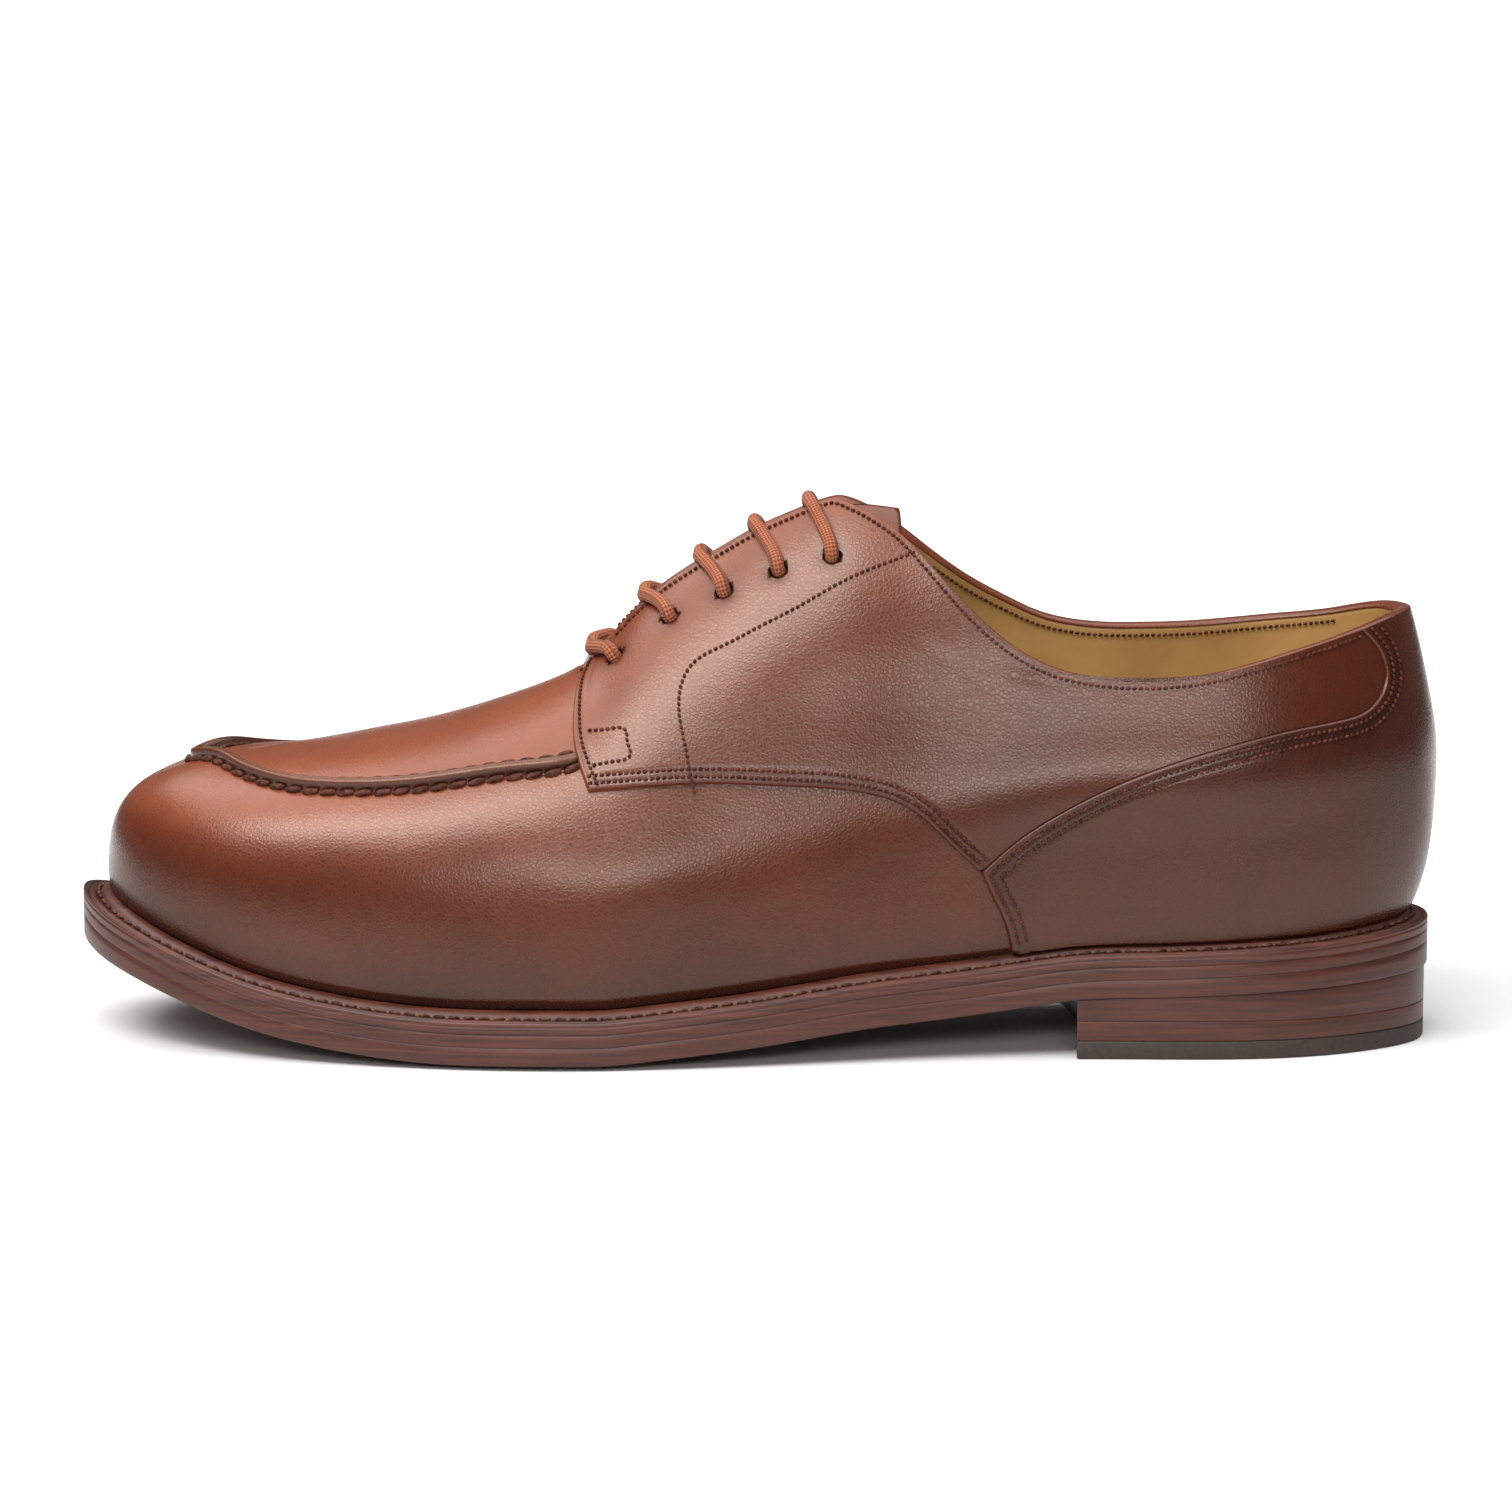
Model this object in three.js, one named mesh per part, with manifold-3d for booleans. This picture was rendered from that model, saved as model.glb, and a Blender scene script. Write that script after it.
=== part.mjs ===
import * as THREE from "three";
import { mergeVertices } from "three/addons/utils/BufferGeometryUtils.js";
import Module from "manifold-3d";

const wasm = await Module();
wasm.setup();

// Frame, in millimetres: X runs from the toe to the heel, Y from the outer side
// of the foot to the inner side, Z up. The shoe is a left one and stands on Z = 0.

// Driving dimensions of the sole
const SOLE_LENGTH = 302;
const BALL_WIDTH = 106;
const TOE_RADIUS = 31;
const SEAT_RADIUS = 33;
const TOE_RISE = 21.2;
const HEEL_PITCH = 16.2;
const EDGE_RISE = 1;
const FLAT_SHARE = 0.45;
const OUTSOLE_THICKNESS = 4;
const MIDSOLE_THICKNESS = 2.8;
const WELT_THICKNESS = 2.6;
const WELT_REACH = 6;
const WELT_SLOPE = 2;
const END_SWELL = 1.2;
const END_SLOPE = 1.4;
const WELT_BAND = 11;
const INSOLE_THICKNESS = 5.5;

// Driving dimensions of the heel
const BREAST_FROM_TOE = 221.5;
const TOP_PIECE_THICKNESS = 4;
const LIFT_THICKNESS = 4;
const HEEL_INSET = 0.6;
const BREAST_HOLLOW = 3;

// Driving dimensions of the upper
const INSTEP_RISE = 108;
const TOE_FAN = 35.5;
const TOE_FAN_SPREAD = 40;
const BACK_FAN = 30;
const BACK_FAN_SPREAD = 35;
const UPPER_WALL = 1.6;
const QUARTER_THICKNESS = 1.2;
const COUNTER_THICKNESS = 1.9;
const BACK_RISE = 67;
const MEDIAL_TOPLINE_RISE = 7;
const THROAT_HALF_GAP = 7.5;
const THROAT_FROM_TOE = 112;
const FACING_TOP_FROM_TOE = 175;
const SEAM_END_GAP = 2.2;
const SEAM_WIDTH = 3.6;
const SEAM_HEIGHT = 2.6;

// Driving dimensions of the tongue and the lacing
const TONGUE_THICKNESS = 1.8;
const TONGUE_WIDTH = 48;
const TONGUE_FROM_TOE = 103;
const TONGUE_TOP_FROM_TOE = 184;
const TONGUE_SKIVE = 4;
const LACE_DIAMETER = 3;
const LACE_ROOM = 0.7;
const LACE_SLANT = 4.4;
const EYELET_DIAMETER = 4.2;
const EYELET_COUNT = 5;
const EYELET_SPACING = 11.8;
const EYELET_ROW_FROM_TOE = 121.1;
const EYELET_SETBACK = 8.5;
const CLEARANCE = 0.3;

const SOLE_STACK = OUTSOLE_THICKNESS + MIDSOLE_THICKNESS + WELT_THICKNESS;
const HALF_LENGTH = SOLE_LENGTH / 2;
const HEEL_HALF_WIDTH = 0.3 * BALL_WIDTH;

// Outline of the sole: centre line and half widths as shares of the ball width
const OUTLINE = [
  // along, centre, outer, inner
  [0.03, 0.085, 0.222, 0.222],
  [0.08, 0.082, 0.338, 0.345],
  [0.15, 0.076, 0.418, 0.434],
  [0.23, 0.066, 0.468, 0.486],
  [0.31, 0.055, 0.495, 0.498],
  [0.38, 0.045, 0.492, 0.476],
  [0.46, 0.034, 0.460, 0.425],
  [0.55, 0.022, 0.408, 0.355],
  [0.65, 0.012, 0.352, 0.308],
  [0.75, 0.004, 0.330, 0.314],
  [0.85, 0.000, 0.328, 0.325],
  [0.92, 0.000, 0.281, 0.279],
  [0.97, 0.000, 0.190, 0.190],
];
const TOE_CENTRE = 0.086;

// Underside of the outsole: shares of the toe spring and of the heel pitch
const UNDERSIDE = [
  // along, spring, pitch, edge
  [-0.040, 1.250, 0.000, 0.0],
  [0.000, 1.000, 0.000, 0.0],
  [0.040, 0.758, 0.000, 0.3],
  [0.085, 0.515, 0.000, 0.8],
  [0.140, 0.265, 0.000, 1.0],
  [0.200, 0.105, 0.000, 1.0],
  [0.260, 0.018, 0.000, 1.0],
  [0.300, 0.000, 0.000, 1.0],
  [0.370, 0.000, 0.000, 1.0],
  [0.390, 0.000, 0.000, 1.0],
  [0.420, 0.000, 0.045, 1.0],
  [0.470, 0.000, 0.145, 0.9],
  [0.520, 0.000, 0.275, 0.6],
  [0.580, 0.000, 0.445, 0.4],
  [0.640, 0.000, 0.570, 0.2],
  [0.690, 0.000, 0.700, 0.0],
  [0.730, 0.000, 0.798, 0.0],
  [0.800, 0.000, 0.850, 0.0],
  [0.870, 0.000, 0.902, 0.0],
  [0.940, 0.000, 0.955, 0.0],
  [1.040, 0.000, 1.030, 0.0],
];

// Ridge of the last from the toe to the back, above the feather line
const RIDGE = [
  // along, rise
  [0.090, 0.380],
  [0.140, 0.430],
  [0.175, 0.460],
  [0.210, 0.492],
  [0.255, 0.530],
  [0.285, 0.556],
  [0.325, 0.594],
  [0.353, 0.624],
  [0.370, 0.648],
  [0.390, 0.690],
  [0.417, 0.768],
  [0.447, 0.838],
  [0.477, 0.888],
  [0.505, 0.929],
  [0.535, 0.960],
  [0.563, 0.980],
  [0.613, 0.958],
  [0.700, 0.950],
  [0.800, 0.970],
  [0.880, 0.985],
];

// Cross sections of the last, from the feather line over the wall to the ridge
const SECTIONS = [
  // along, outer lean, inner lean, wall, crown
  [0.025, 0.024, 0.024, 0.79, 0.68],
  [0.060, 0.030, 0.030, 0.76, 0.70],
  [0.110, 0.040, 0.038, 0.72, 0.74],
  [0.200, 0.047, 0.040, 0.67, 0.79],
  [0.300, 0.040, 0.030, 0.66, 0.72],
  [0.370, 0.038, 0.030, 0.62, 0.62],
  [0.447, 0.036, 0.045, 0.52, 0.42],
  [0.505, 0.034, 0.060, 0.48, 0.38],
  [0.565, 0.034, 0.075, 0.44, 0.40],
  [0.665, 0.045, 0.080, 0.36, 0.60],
  [0.750, 0.055, 0.070, 0.30, 0.75],
  [0.830, 0.060, 0.065, 0.27, 0.82],
  [0.910, 0.090, 0.090, 0.26, 0.86],
  [0.980, 0.130, 0.130, 0.26, 0.87],
];

// Top line of the outer side: heights above the welt, as shares of the back rise
const TOPLINE = [
  // along, height
  [0.570, 1.562],
  [0.578, 1.498],
  [0.592, 1.455],
  [0.607, 1.397],
  [0.635, 1.243],
  [0.664, 1.088],
  [0.692, 0.971],
  [0.721, 0.894],
  [0.749, 0.859],
  [0.785, 0.847],
  [0.836, 0.868],
  [0.893, 0.928],
  [0.943, 0.985],
  [0.974, 1.013],
];

// Raised seam of the apron: its place up each wall, from the toe to the vamp
const SEAM = [
  // along, outer, inner
  [0.000, 0.762, 0.762],
  [0.012, 0.763, 0.763],
  [0.032, 0.744, 0.744],
  [0.074, 0.695, 0.695],
  [0.141, 0.635, 0.635],
  [0.197, 0.605, 0.610],
  [0.256, 0.585, 0.600],
  [0.331, 0.555, 0.585],
  [0.371, 0.535, 0.570],
];

// Front and lower edge of the quarters in side view, from the facing's corner
// down the front, along the vamp and down to the welt; heights as above
const QUARTER_EDGE = [
  // along, height
  [0.405, 1.213],
  [0.392, 1.146],
  [0.381, 1.084],
  [0.373, 1.028],
  [0.370, 0.958],
  [0.370, 0.881],
  [0.373, 0.817],
  [0.382, 0.713],
  [0.464, 0.704],
  [0.506, 0.673],
  [0.548, 0.633],
  [0.580, 0.594],
  [0.605, 0.547],
  [0.622, 0.491],
  [0.635, 0.428],
  [0.661, 0.296],
  [0.668, 0.225],
  [0.676, 0.145],
  [0.682, 0.064],
  [0.687, -0.084],
];

// Front and upper edge of the heel counter in side view, from the welt to the
// back; heights as above
const COUNTER_EDGE = [
  // along, height
  [0.689, -0.085],
  [0.684, 0.062],
  [0.678, 0.144],
  [0.670, 0.224],
  [0.664, 0.290],
  [0.679, 0.342],
  [0.707, 0.418],
  [0.735, 0.477],
  [0.777, 0.557],
  [0.836, 0.637],
  [0.893, 0.687],
  [0.923, 0.703],
  [0.941, 0.723],
  [0.951, 0.760],
  [0.956, 0.811],
  [0.955, 0.866],
  [0.950, 0.915],
  [0.938, 0.976],
  [0.925, 1.055],
];

const lerp = THREE.MathUtils.lerp;
const clamp = THREE.MathUtils.clamp;
const smooth = (x, low, high) => THREE.MathUtils.smoothstep(x, low, high);
const alongToX = (along) => (along - 0.5) * SOLE_LENGTH;
const xFromToe = (distance) => distance - HALF_LENGTH;
const angleOfX = (x) => Math.acos(clamp(-x / HALF_LENGTH, -1, 1));

// A smooth curve through the rows of a table, level at both ends
function curveThrough(xs, ys) {
  const count = xs.length;
  const slopes = new Array(count).fill(0);
  const factor = new Array(count).fill(0);
  for (let i = 1; i < count - 1; i++) {
    const before = 1 / (xs[i] - xs[i - 1]);
    const after = 1 / (xs[i + 1] - xs[i]);
    const pull = 3 * ((ys[i] - ys[i - 1]) * before ** 2 + (ys[i + 1] - ys[i]) * after ** 2);
    const pivot = 2 * (before + after) - before * factor[i - 1];
    factor[i] = after / pivot;
    slopes[i] = (pull - before * slopes[i - 1]) / pivot;
  }
  for (let i = count - 2; i > 0; i--) slopes[i] -= factor[i] * slopes[i + 1];
  return (x) => {
    if (x <= xs[0]) return ys[0];
    if (x >= xs[count - 1]) return ys[count - 1];
    let i = 0;
    while (x > xs[i + 1]) i++;
    const step = xs[i + 1] - xs[i];
    const s = (x - xs[i]) / step;
    const start = (1 + 2 * s) * (1 - s) ** 2 * ys[i] + s * (1 - s) ** 2 * step * slopes[i];
    return start + s ** 2 * (3 - 2 * s) * ys[i + 1] - s ** 2 * (1 - s) * step * slopes[i + 1];
  };
}

function columnOverX(table, column) {
  return curveThrough(table.map((row) => alongToX(row[0])), table.map((row) => row[column]));
}

function columnOverAngle(table, column) {
  return curveThrough(
    table.map((row) => angleOfX(alongToX(row[0]))),
    table.map((row) => row[column])
  );
}

// The sole's outline. The angle runs from 0 at the toe to a half turn at the
// back; it is negative on the outer side and positive on the inner side.
const outlineAngles = [0, ...OUTLINE.map((row) => angleOfX(alongToX(row[0]))), Math.PI];

function widthCurve(column) {
  const shares = OUTLINE.map((row, i) => (row[column] * BALL_WIDTH) / Math.sin(outlineAngles[i + 1]));
  return curveThrough(outlineAngles, [
    Math.sqrt(TOE_RADIUS * HALF_LENGTH),
    ...shares,
    Math.sqrt(SEAT_RADIUS * HALF_LENGTH),
  ]);
}

const outerWidth = widthCurve(2);
const innerWidth = widthCurve(3);
const centreLine = curveThrough(
  outlineAngles,
  [TOE_CENTRE, ...OUTLINE.map((row) => row[1]), 0].map((share) => share * BALL_WIDTH)
);

function edgePoint(angle) {
  const turn = Math.abs(angle);
  const width = angle < 0 ? outerWidth(turn) : innerWidth(turn);
  return new THREE.Vector2(-HALF_LENGTH * Math.cos(turn), centreLine(turn) + Math.sin(angle) * width);
}

function outline(angle, inset = 0) {
  const step = 0.002;
  const along = edgePoint(angle + step).sub(edgePoint(angle - step)).normalize();
  const inward = new THREE.Vector2(along.y, -along.x);
  return edgePoint(angle).addScaledVector(inward, inset);
}

// Heights along the sole
const springShare = columnOverX(UNDERSIDE, 1);
const pitchShare = columnOverX(UNDERSIDE, 2);
const edgeShare = columnOverX(UNDERSIDE, 3);

function underside(x, across) {
  const flat = Math.max(0, springShare(x) * TOE_RISE + pitchShare(x) * HEEL_PITCH);
  return flat + EDGE_RISE * edgeShare(x) * smooth(Math.abs(across), FLAT_SHARE, 1);
}

// The share of the half width that is left at an inset from the outline
function acrossAt(angle, inset) {
  const turn = Math.abs(angle);
  const width = Math.sin(turn) * (angle < 0 ? outerWidth(turn) : innerWidth(turn));
  return 1 - inset / Math.max(width, HEEL_HALF_WIDTH);
}

const endShare = (x) => Math.abs(x / HALF_LENGTH) ** 8;
const outsoleTop = (x, across) => underside(x, across) + OUTSOLE_THICKNESS + END_SWELL * endShare(x);
const midsoleTop = (x, across) => outsoleTop(x, across) + MIDSOLE_THICKNESS;
const weltTop = (x, across) => midsoleTop(x, across) + WELT_THICKNESS;
const weltSlope = (x) => WELT_SLOPE + END_SLOPE * endShare(x);

function featherHeight(angle, x) {
  return weltTop(x, acrossAt(angle, WELT_REACH)) + weltSlope(x) + CLEARANCE;
}

// The last: curves from the feather line, over the wall, to the ridge
const ridgeShare = columnOverX(RIDGE, 1);
const outerLean = columnOverAngle(SECTIONS, 1);
const innerLean = columnOverAngle(SECTIONS, 2);
const wallShare = columnOverAngle(SECTIONS, 3);
const crownShare = columnOverAngle(SECTIONS, 4);
const toeX = -HALF_LENGTH + WELT_REACH;
const backX = HALF_LENGTH - WELT_REACH;

const weltLevel = (x) => underside(x, 0) + SOLE_STACK + WELT_SLOPE;
const ridgeHeight = (x) => weltLevel(x) + ridgeShare(x) * INSTEP_RISE;

function ridgePoint(angle) {
  const x = outline(Math.abs(angle), WELT_REACH).x;
  const fromToe = TOE_FAN * Math.exp(-(((x - toeX) / TOE_FAN_SPREAD) ** 2));
  const fromBack = BACK_FAN * Math.exp(-(((x - backX) / BACK_FAN_SPREAD) ** 2));
  const ridgeX = x + fromToe - fromBack;
  return new THREE.Vector3(ridgeX, centreLine(angleOfX(ridgeX)), ridgeHeight(ridgeX));
}

function wallCurve(angle) {
  const turn = Math.abs(angle);
  const foot = outline(angle, WELT_REACH);
  const feather = new THREE.Vector3(foot.x, foot.y, featherHeight(angle, foot.x));
  const ridge = ridgePoint(angle);
  const outward = new THREE.Vector3(foot.x - ridge.x, foot.y - ridge.y, 0);
  const reach = outward.length();
  outward.normalize();
  const lean = (angle < 0 ? outerLean(turn) : innerLean(turn)) * BALL_WIDTH;
  const wall = feather.clone().addScaledVector(outward, lean);
  wall.z = lerp(feather.z, ridge.z, wallShare(turn));
  const crown = ridge.clone().addScaledVector(outward, reach * crownShare(turn));
  const ridgeSlope = ridgeHeight(ridge.x + 1) - ridgeHeight(ridge.x - 1);
  crown.z += (ridgeSlope / 2) * (crown.x - ridge.x);
  return new THREE.CubicBezierCurve3(feather, wall, crown, ridge);
}

function lastNormal(angle, up) {
  const step = 0.004;
  const near = clamp(up, step, 1 - 2 * step);
  const ahead = wallCurve(angle + step).getPoint(near);
  const behind = wallCurve(angle - step).getPoint(near);
  const above = wallCurve(angle).getPoint(near + step);
  const below = wallCurve(angle).getPoint(near - step);
  return above.sub(below).cross(ahead.sub(behind)).normalize();
}

// A point of the last's surface, or of a surface at a distance outside it.
// On the ridge both sides share one direction outward.
function lastPoint(angle, up, offset = 0) {
  const point = wallCurve(angle).getPoint(up);
  if (offset === 0) return point;
  const normal = lastNormal(angle, up);
  if (up === 1) normal.add(lastNormal(-angle, up)).normalize();
  return point.addScaledVector(normal, offset);
}

// The share of a wall curve where a falling measure reaches zero
function shareWhere(curve, measure) {
  let low = 0;
  let high = 1;
  for (let i = 0; i < 30; i++) {
    const middle = (low + high) / 2;
    if (measure(curve.getPoint(middle)) > 0) low = middle;
    else high = middle;
  }
  return (low + high) / 2;
}

// Where a wall curve comes within a distance of the ridge
function upAtReach(angle, distance) {
  const ridge = ridgePoint(angle);
  return shareWhere(wallCurve(angle), (p) => Math.hypot(p.x - ridge.x, p.y - ridge.y) - distance);
}

// Upper edge of the quarters: the facings' edge, then the top line, which keeps
// to the instep at its front and to the back rise behind
const FRONT_RISE_SHARE = 0.62;
const toplineShare = columnOverX(TOPLINE, 1);

function toplineHeight(x, angle) {
  const inner = angle < 0 ? 0 : MEDIAL_TOPLINE_RISE;
  const behind = smooth(x, alongToX(0.6), alongToX(0.7));
  const back = smooth(x, alongToX(0.78), alongToX(0.97));
  const rise = lerp(FRONT_RISE_SHARE * INSTEP_RISE, BACK_RISE, behind);
  return weltLevel(x) + toplineShare(x) * rise + inner * behind * (1 - back);
}

function rimUp(angle) {
  const facing = upAtReach(angle, THROAT_HALF_GAP);
  if (ridgePoint(angle).x < xFromToe(FACING_TOP_FROM_TOE) - EYELET_SPACING) return facing;
  const topline = shareWhere(wallCurve(angle), (p) => toplineHeight(p.x, angle) - p.z);
  return Math.min(facing, topline);
}

const outerSeam = columnOverAngle(SEAM, 1);
const innerSeam = columnOverAngle(SEAM, 2);
const seamUp = (angle) => (angle < 0 ? outerSeam : innerSeam)(Math.abs(angle));

// Closed bodies. Corners closer than this are one corner.
const JOIN_DISTANCE = 0.01;

function bodyFrom(points, faces) {
  let volume = 0;
  for (const [a, b, c] of faces) {
    volume += points[a].dot(new THREE.Vector3().crossVectors(points[b], points[c]));
  }
  const turned = volume < 0 ? faces.map(([a, b, c]) => [a, c, b]) : faces;
  const geometry = new THREE.BufferGeometry();
  geometry.setAttribute("position", new THREE.Float32BufferAttribute(points.flatMap((p) => p.toArray()), 3));
  geometry.setIndex(turned.flat());
  return geometry;
}

// A sheet of patches with a face on each side and a wall round each free edge.
// A patch is rows of pairs: the outer point and the inner point under it.
function shell(patches) {
  const outer = [];
  const inner = [];
  const known = new Map();
  const place = ([out, under]) => {
    const key = out.toArray().map((value) => Math.round(value / JOIN_DISTANCE)).join();
    if (!known.has(key)) {
      known.set(key, outer.length);
      outer.push(out);
      inner.push(under);
    }
    return known.get(key);
  };
  const sheet = [];
  const addFace = (a, b, c) => {
    if (a !== b && b !== c && c !== a) sheet.push([a, b, c]);
  };
  for (const rows of patches) {
    const ids = rows.map((row) => row.map(place));
    for (let i = 0; i + 1 < ids.length; i++) {
      for (let j = 0; j + 1 < ids[i].length; j++) {
        addFace(ids[i][j], ids[i + 1][j], ids[i + 1][j + 1]);
        addFace(ids[i][j], ids[i + 1][j + 1], ids[i][j + 1]);
      }
    }
  }
  const edges = new Set(sheet.flatMap(([a, b, c]) => [`${a},${b}`, `${b},${c}`, `${c},${a}`]));
  const shift = outer.length;
  const faces = [...sheet, ...sheet.map(([a, b, c]) => [a + shift, c + shift, b + shift])];
  for (const edge of edges) {
    const [a, b] = edge.split(",").map(Number);
    if (edges.has(`${b},${a}`)) continue;
    faces.push([b, a, a + shift], [b, a + shift, b + shift]);
  }
  return bodyFrom([...outer, ...inner], faces);
}

// A body swept through rings of points, open-ended with caps or closed in a loop
function sweep(rings, loop = false) {
  const size = rings[0].length;
  const points = rings.flat();
  const faces = [];
  const last = loop ? rings.length : rings.length - 1;
  for (let i = 0; i < last; i++) {
    const next = (i + 1) % rings.length;
    for (let j = 0; j < size; j++) {
      const k = (j + 1) % size;
      faces.push([i * size + j, next * size + j, next * size + k]);
      faces.push([i * size + j, next * size + k, i * size + k]);
    }
  }
  if (!loop) {
    const end = (rings.length - 1) * size;
    for (let j = 1; j + 1 < size; j++) {
      faces.push([0, j, j + 1], [end, end + j + 1, end + j]);
    }
  }
  return bodyFrom(points, faces);
}

function toSolid(geometry) {
  return new wasm.Manifold(new wasm.Mesh({
    numProp: 3,
    vertProperties: new Float32Array(geometry.attributes.position.array),
    triVerts: new Uint32Array(geometry.index.array),
  }));
}

// A cut solid as a geometry, with corners that lie together joined into one
function toGeometry(solid) {
  const mesh = solid.getMesh();
  const cut = new THREE.BufferGeometry();
  cut.setAttribute("position", new THREE.Float32BufferAttribute(mesh.vertProperties, 3));
  cut.setIndex(Array.from(mesh.triVerts));
  const geometry = mergeVertices(cut, JOIN_DISTANCE);
  const index = geometry.index.array;
  const kept = [];
  for (let i = 0; i < index.length; i += 3) {
    const [a, b, c] = index.slice(i, i + 3);
    if (a !== b && b !== c && c !== a) kept.push(a, b, c);
  }
  geometry.setIndex(kept);
  return geometry;
}

function merged(geometry) {
  geometry.deleteAttribute("normal");
  geometry.deleteAttribute("uv");
  return mergeVertices(geometry, JOIN_DISTANCE);
}

const LAYER_COLUMNS = [-1, -FLAT_SHARE, FLAT_SHARE, 1];

// Stations round the sole, as angles on one side
const FRONT_STEPS = 13;
const FACING_STEPS = 5;
const BACK_STEPS = 13;

function steps(from, to, count) {
  return Array.from({ length: count }, (_, i) => lerp(from, to, i / count));
}

const throatAngle = angleOfFoot(xFromToe(THROAT_FROM_TOE));
const facingTopAngle = angleOfFoot(xFromToe(FACING_TOP_FROM_TOE));
const frontStations = steps(0, throatAngle, FRONT_STEPS);
const facingStations = steps(throatAngle, facingTopAngle, FACING_STEPS);
const backStations = steps(facingTopAngle, Math.PI, BACK_STEPS);
const sideStations = [...frontStations, ...facingStations, ...backStations, Math.PI];
const bothSides = (angles) => [...angles.map((a) => -a).reverse(), ...angles.filter((a) => a > 0)];

// The angle whose foot on the feather line lies at X
function angleOfFoot(x) {
  let low = 0;
  let high = Math.PI;
  for (let i = 0; i < 40; i++) {
    const middle = (low + high) / 2;
    if (outline(middle, WELT_REACH).x < x) low = middle;
    else high = middle;
  }
  return low;
}

// Rows of the wall from the feather line to the rim, with one line along the seam
const MIDDLE_LINE = 0.56;

function wallRow(angle, under, over) {
  const rim = rimUp(angle);
  const middle = Math.min(seamUp(angle), MIDDLE_LINE * rim);
  const ups = [...steps(0, middle, 5), ...steps(middle, rim, 4), rim];
  return ups.map((up) => [lastPoint(angle, up, over), lastPoint(angle, up, under)]);
}

function crownRow(angle, under, over) {
  const rim = rimUp(angle);
  return [rim, (rim + 1) / 2, 1].map((up) => [lastPoint(angle, up, over), lastPoint(angle, up, under)]);
}

function skin(angles, under, over) {
  return angles.map((angle) => wallRow(angle, under, over));
}

// Upper: one hollow body, open at the throat, at the collar and underneath
function buildUpper() {
  const walls = skin(bothSides(sideStations), -UPPER_WALL, 0);
  const front = [...frontStations, throatAngle];
  const outerCrown = front.map((a) => crownRow(-a, -UPPER_WALL, 0)).reverse();
  const innerCrown = front.map((a) => crownRow(a, -UPPER_WALL, 0));
  return shell([walls, [...outerCrown, ...innerCrown.slice(1)]]);
}

// A layer of the sole between two heights
function buildLayer(inset, floor, ceiling) {
  const rows = sideStations.map((angle) => {
    const outer = outline(-angle, inset);
    const inner = outline(angle, inset);
    const isTip = outer.distanceTo(inner) < JOIN_DISTANCE;
    return LAYER_COLUMNS.map((across) => {
      const x = lerp(outer.x, inner.x, (across + 1) / 2);
      const y = lerp(outer.y, inner.y, (across + 1) / 2);
      const share = (isTip ? 1 : across) * acrossAt(across < 0 ? -angle : angle, inset);
      return [new THREE.Vector3(x, y, ceiling(x, share)), new THREE.Vector3(x, y, floor(x, share))];
    });
  });
  return shell([rows]);
}

// Welt: a band round the outline whose top rises to the upper
function buildWelt() {
  const ring = (angle) => {
    const at = (inset, height) => {
      const p = outline(angle, inset);
      return new THREE.Vector3(p.x, p.y, height(p.x, acrossAt(angle, inset)));
    };
    const raised = (x, across) => weltTop(x, across) + weltSlope(x);
    const base = (x, across) => midsoleTop(x, across) + CLEARANCE;
    return [at(0, base), at(0, weltTop), at(WELT_REACH, raised), at(WELT_BAND, raised), at(WELT_BAND, base)];
  };
  return sweep(bothSides(sideStations).slice(1).map(ring), true);
}

// A slab over a plan outline, between two heights
function buildSlab(plan, floor, ceiling) {
  const count = plan.length;
  const points = [
    ...plan.map((p) => new THREE.Vector3(p.x, p.y, ceiling(p.x))),
    ...plan.map((p) => new THREE.Vector3(p.x, p.y, floor(p.x))),
  ];
  const faces = [];
  for (const [a, b, c] of THREE.ShapeUtils.triangulateShape(plan, [])) {
    faces.push([a, b, c], [a + count, c + count, b + count]);
  }
  for (let i = 0; i < count; i++) {
    const j = (i + 1) % count;
    faces.push([i, i + count, j + count], [i, j + count, j]);
  }
  return bodyFrom(points, faces);
}

// Plan of the heel: the sole's outline behind a breast that is hollow
function heelPlan() {
  const breastX = xFromToe(BREAST_FROM_TOE);
  const breastAngle = angleOfX(breastX);
  const stations = [...steps(breastAngle, Math.PI, 12), Math.PI];
  const outer = stations.map((angle) => outline(-angle, HEEL_INSET));
  const inner = stations.slice(0, -1).map((angle) => outline(angle, HEEL_INSET)).reverse();
  const breast = [0.66, 0.33, 0, -0.33, -0.66].map((across) => new THREE.Vector2(
    breastX + BREAST_HOLLOW * (1 - across ** 2),
    lerp(outer[0].y, inner[inner.length - 1].y, (across + 1) / 2)
  ));
  return [...outer, ...inner, ...breast];
}

// A prism across the shoe with a side view as its outline
function sidePrism(outlineShares, closing, shift) {
  const corners = [...outlineShares, ...closing];
  const shape = new THREE.Shape(corners.map(([along, height]) => new THREE.Vector2(
    alongToX(along) - shift,
    weltLevel(alongToX(along)) + height * BACK_RISE + shift
  )));
  const prism = new THREE.ExtrudeGeometry(shape, { depth: 2 * BALL_WIDTH, bevelEnabled: false });
  prism.rotateX(Math.PI / 2);
  prism.translate(0, BALL_WIDTH, 0);
  return toSolid(merged(prism));
}

const COUNTER_CLOSING = [[1.1, 1.3], [1.1, -0.25], [0.69, -0.25]];
const QUARTER_CLOSING = [[0.7, -0.25], [1.1, -0.25], [1.1, 1.8], [0.405, 1.8]];

// Quarter: laid over the vamp, from the facing's front to the counter
const QUARTER_SHEET_START = 0.33;

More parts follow.
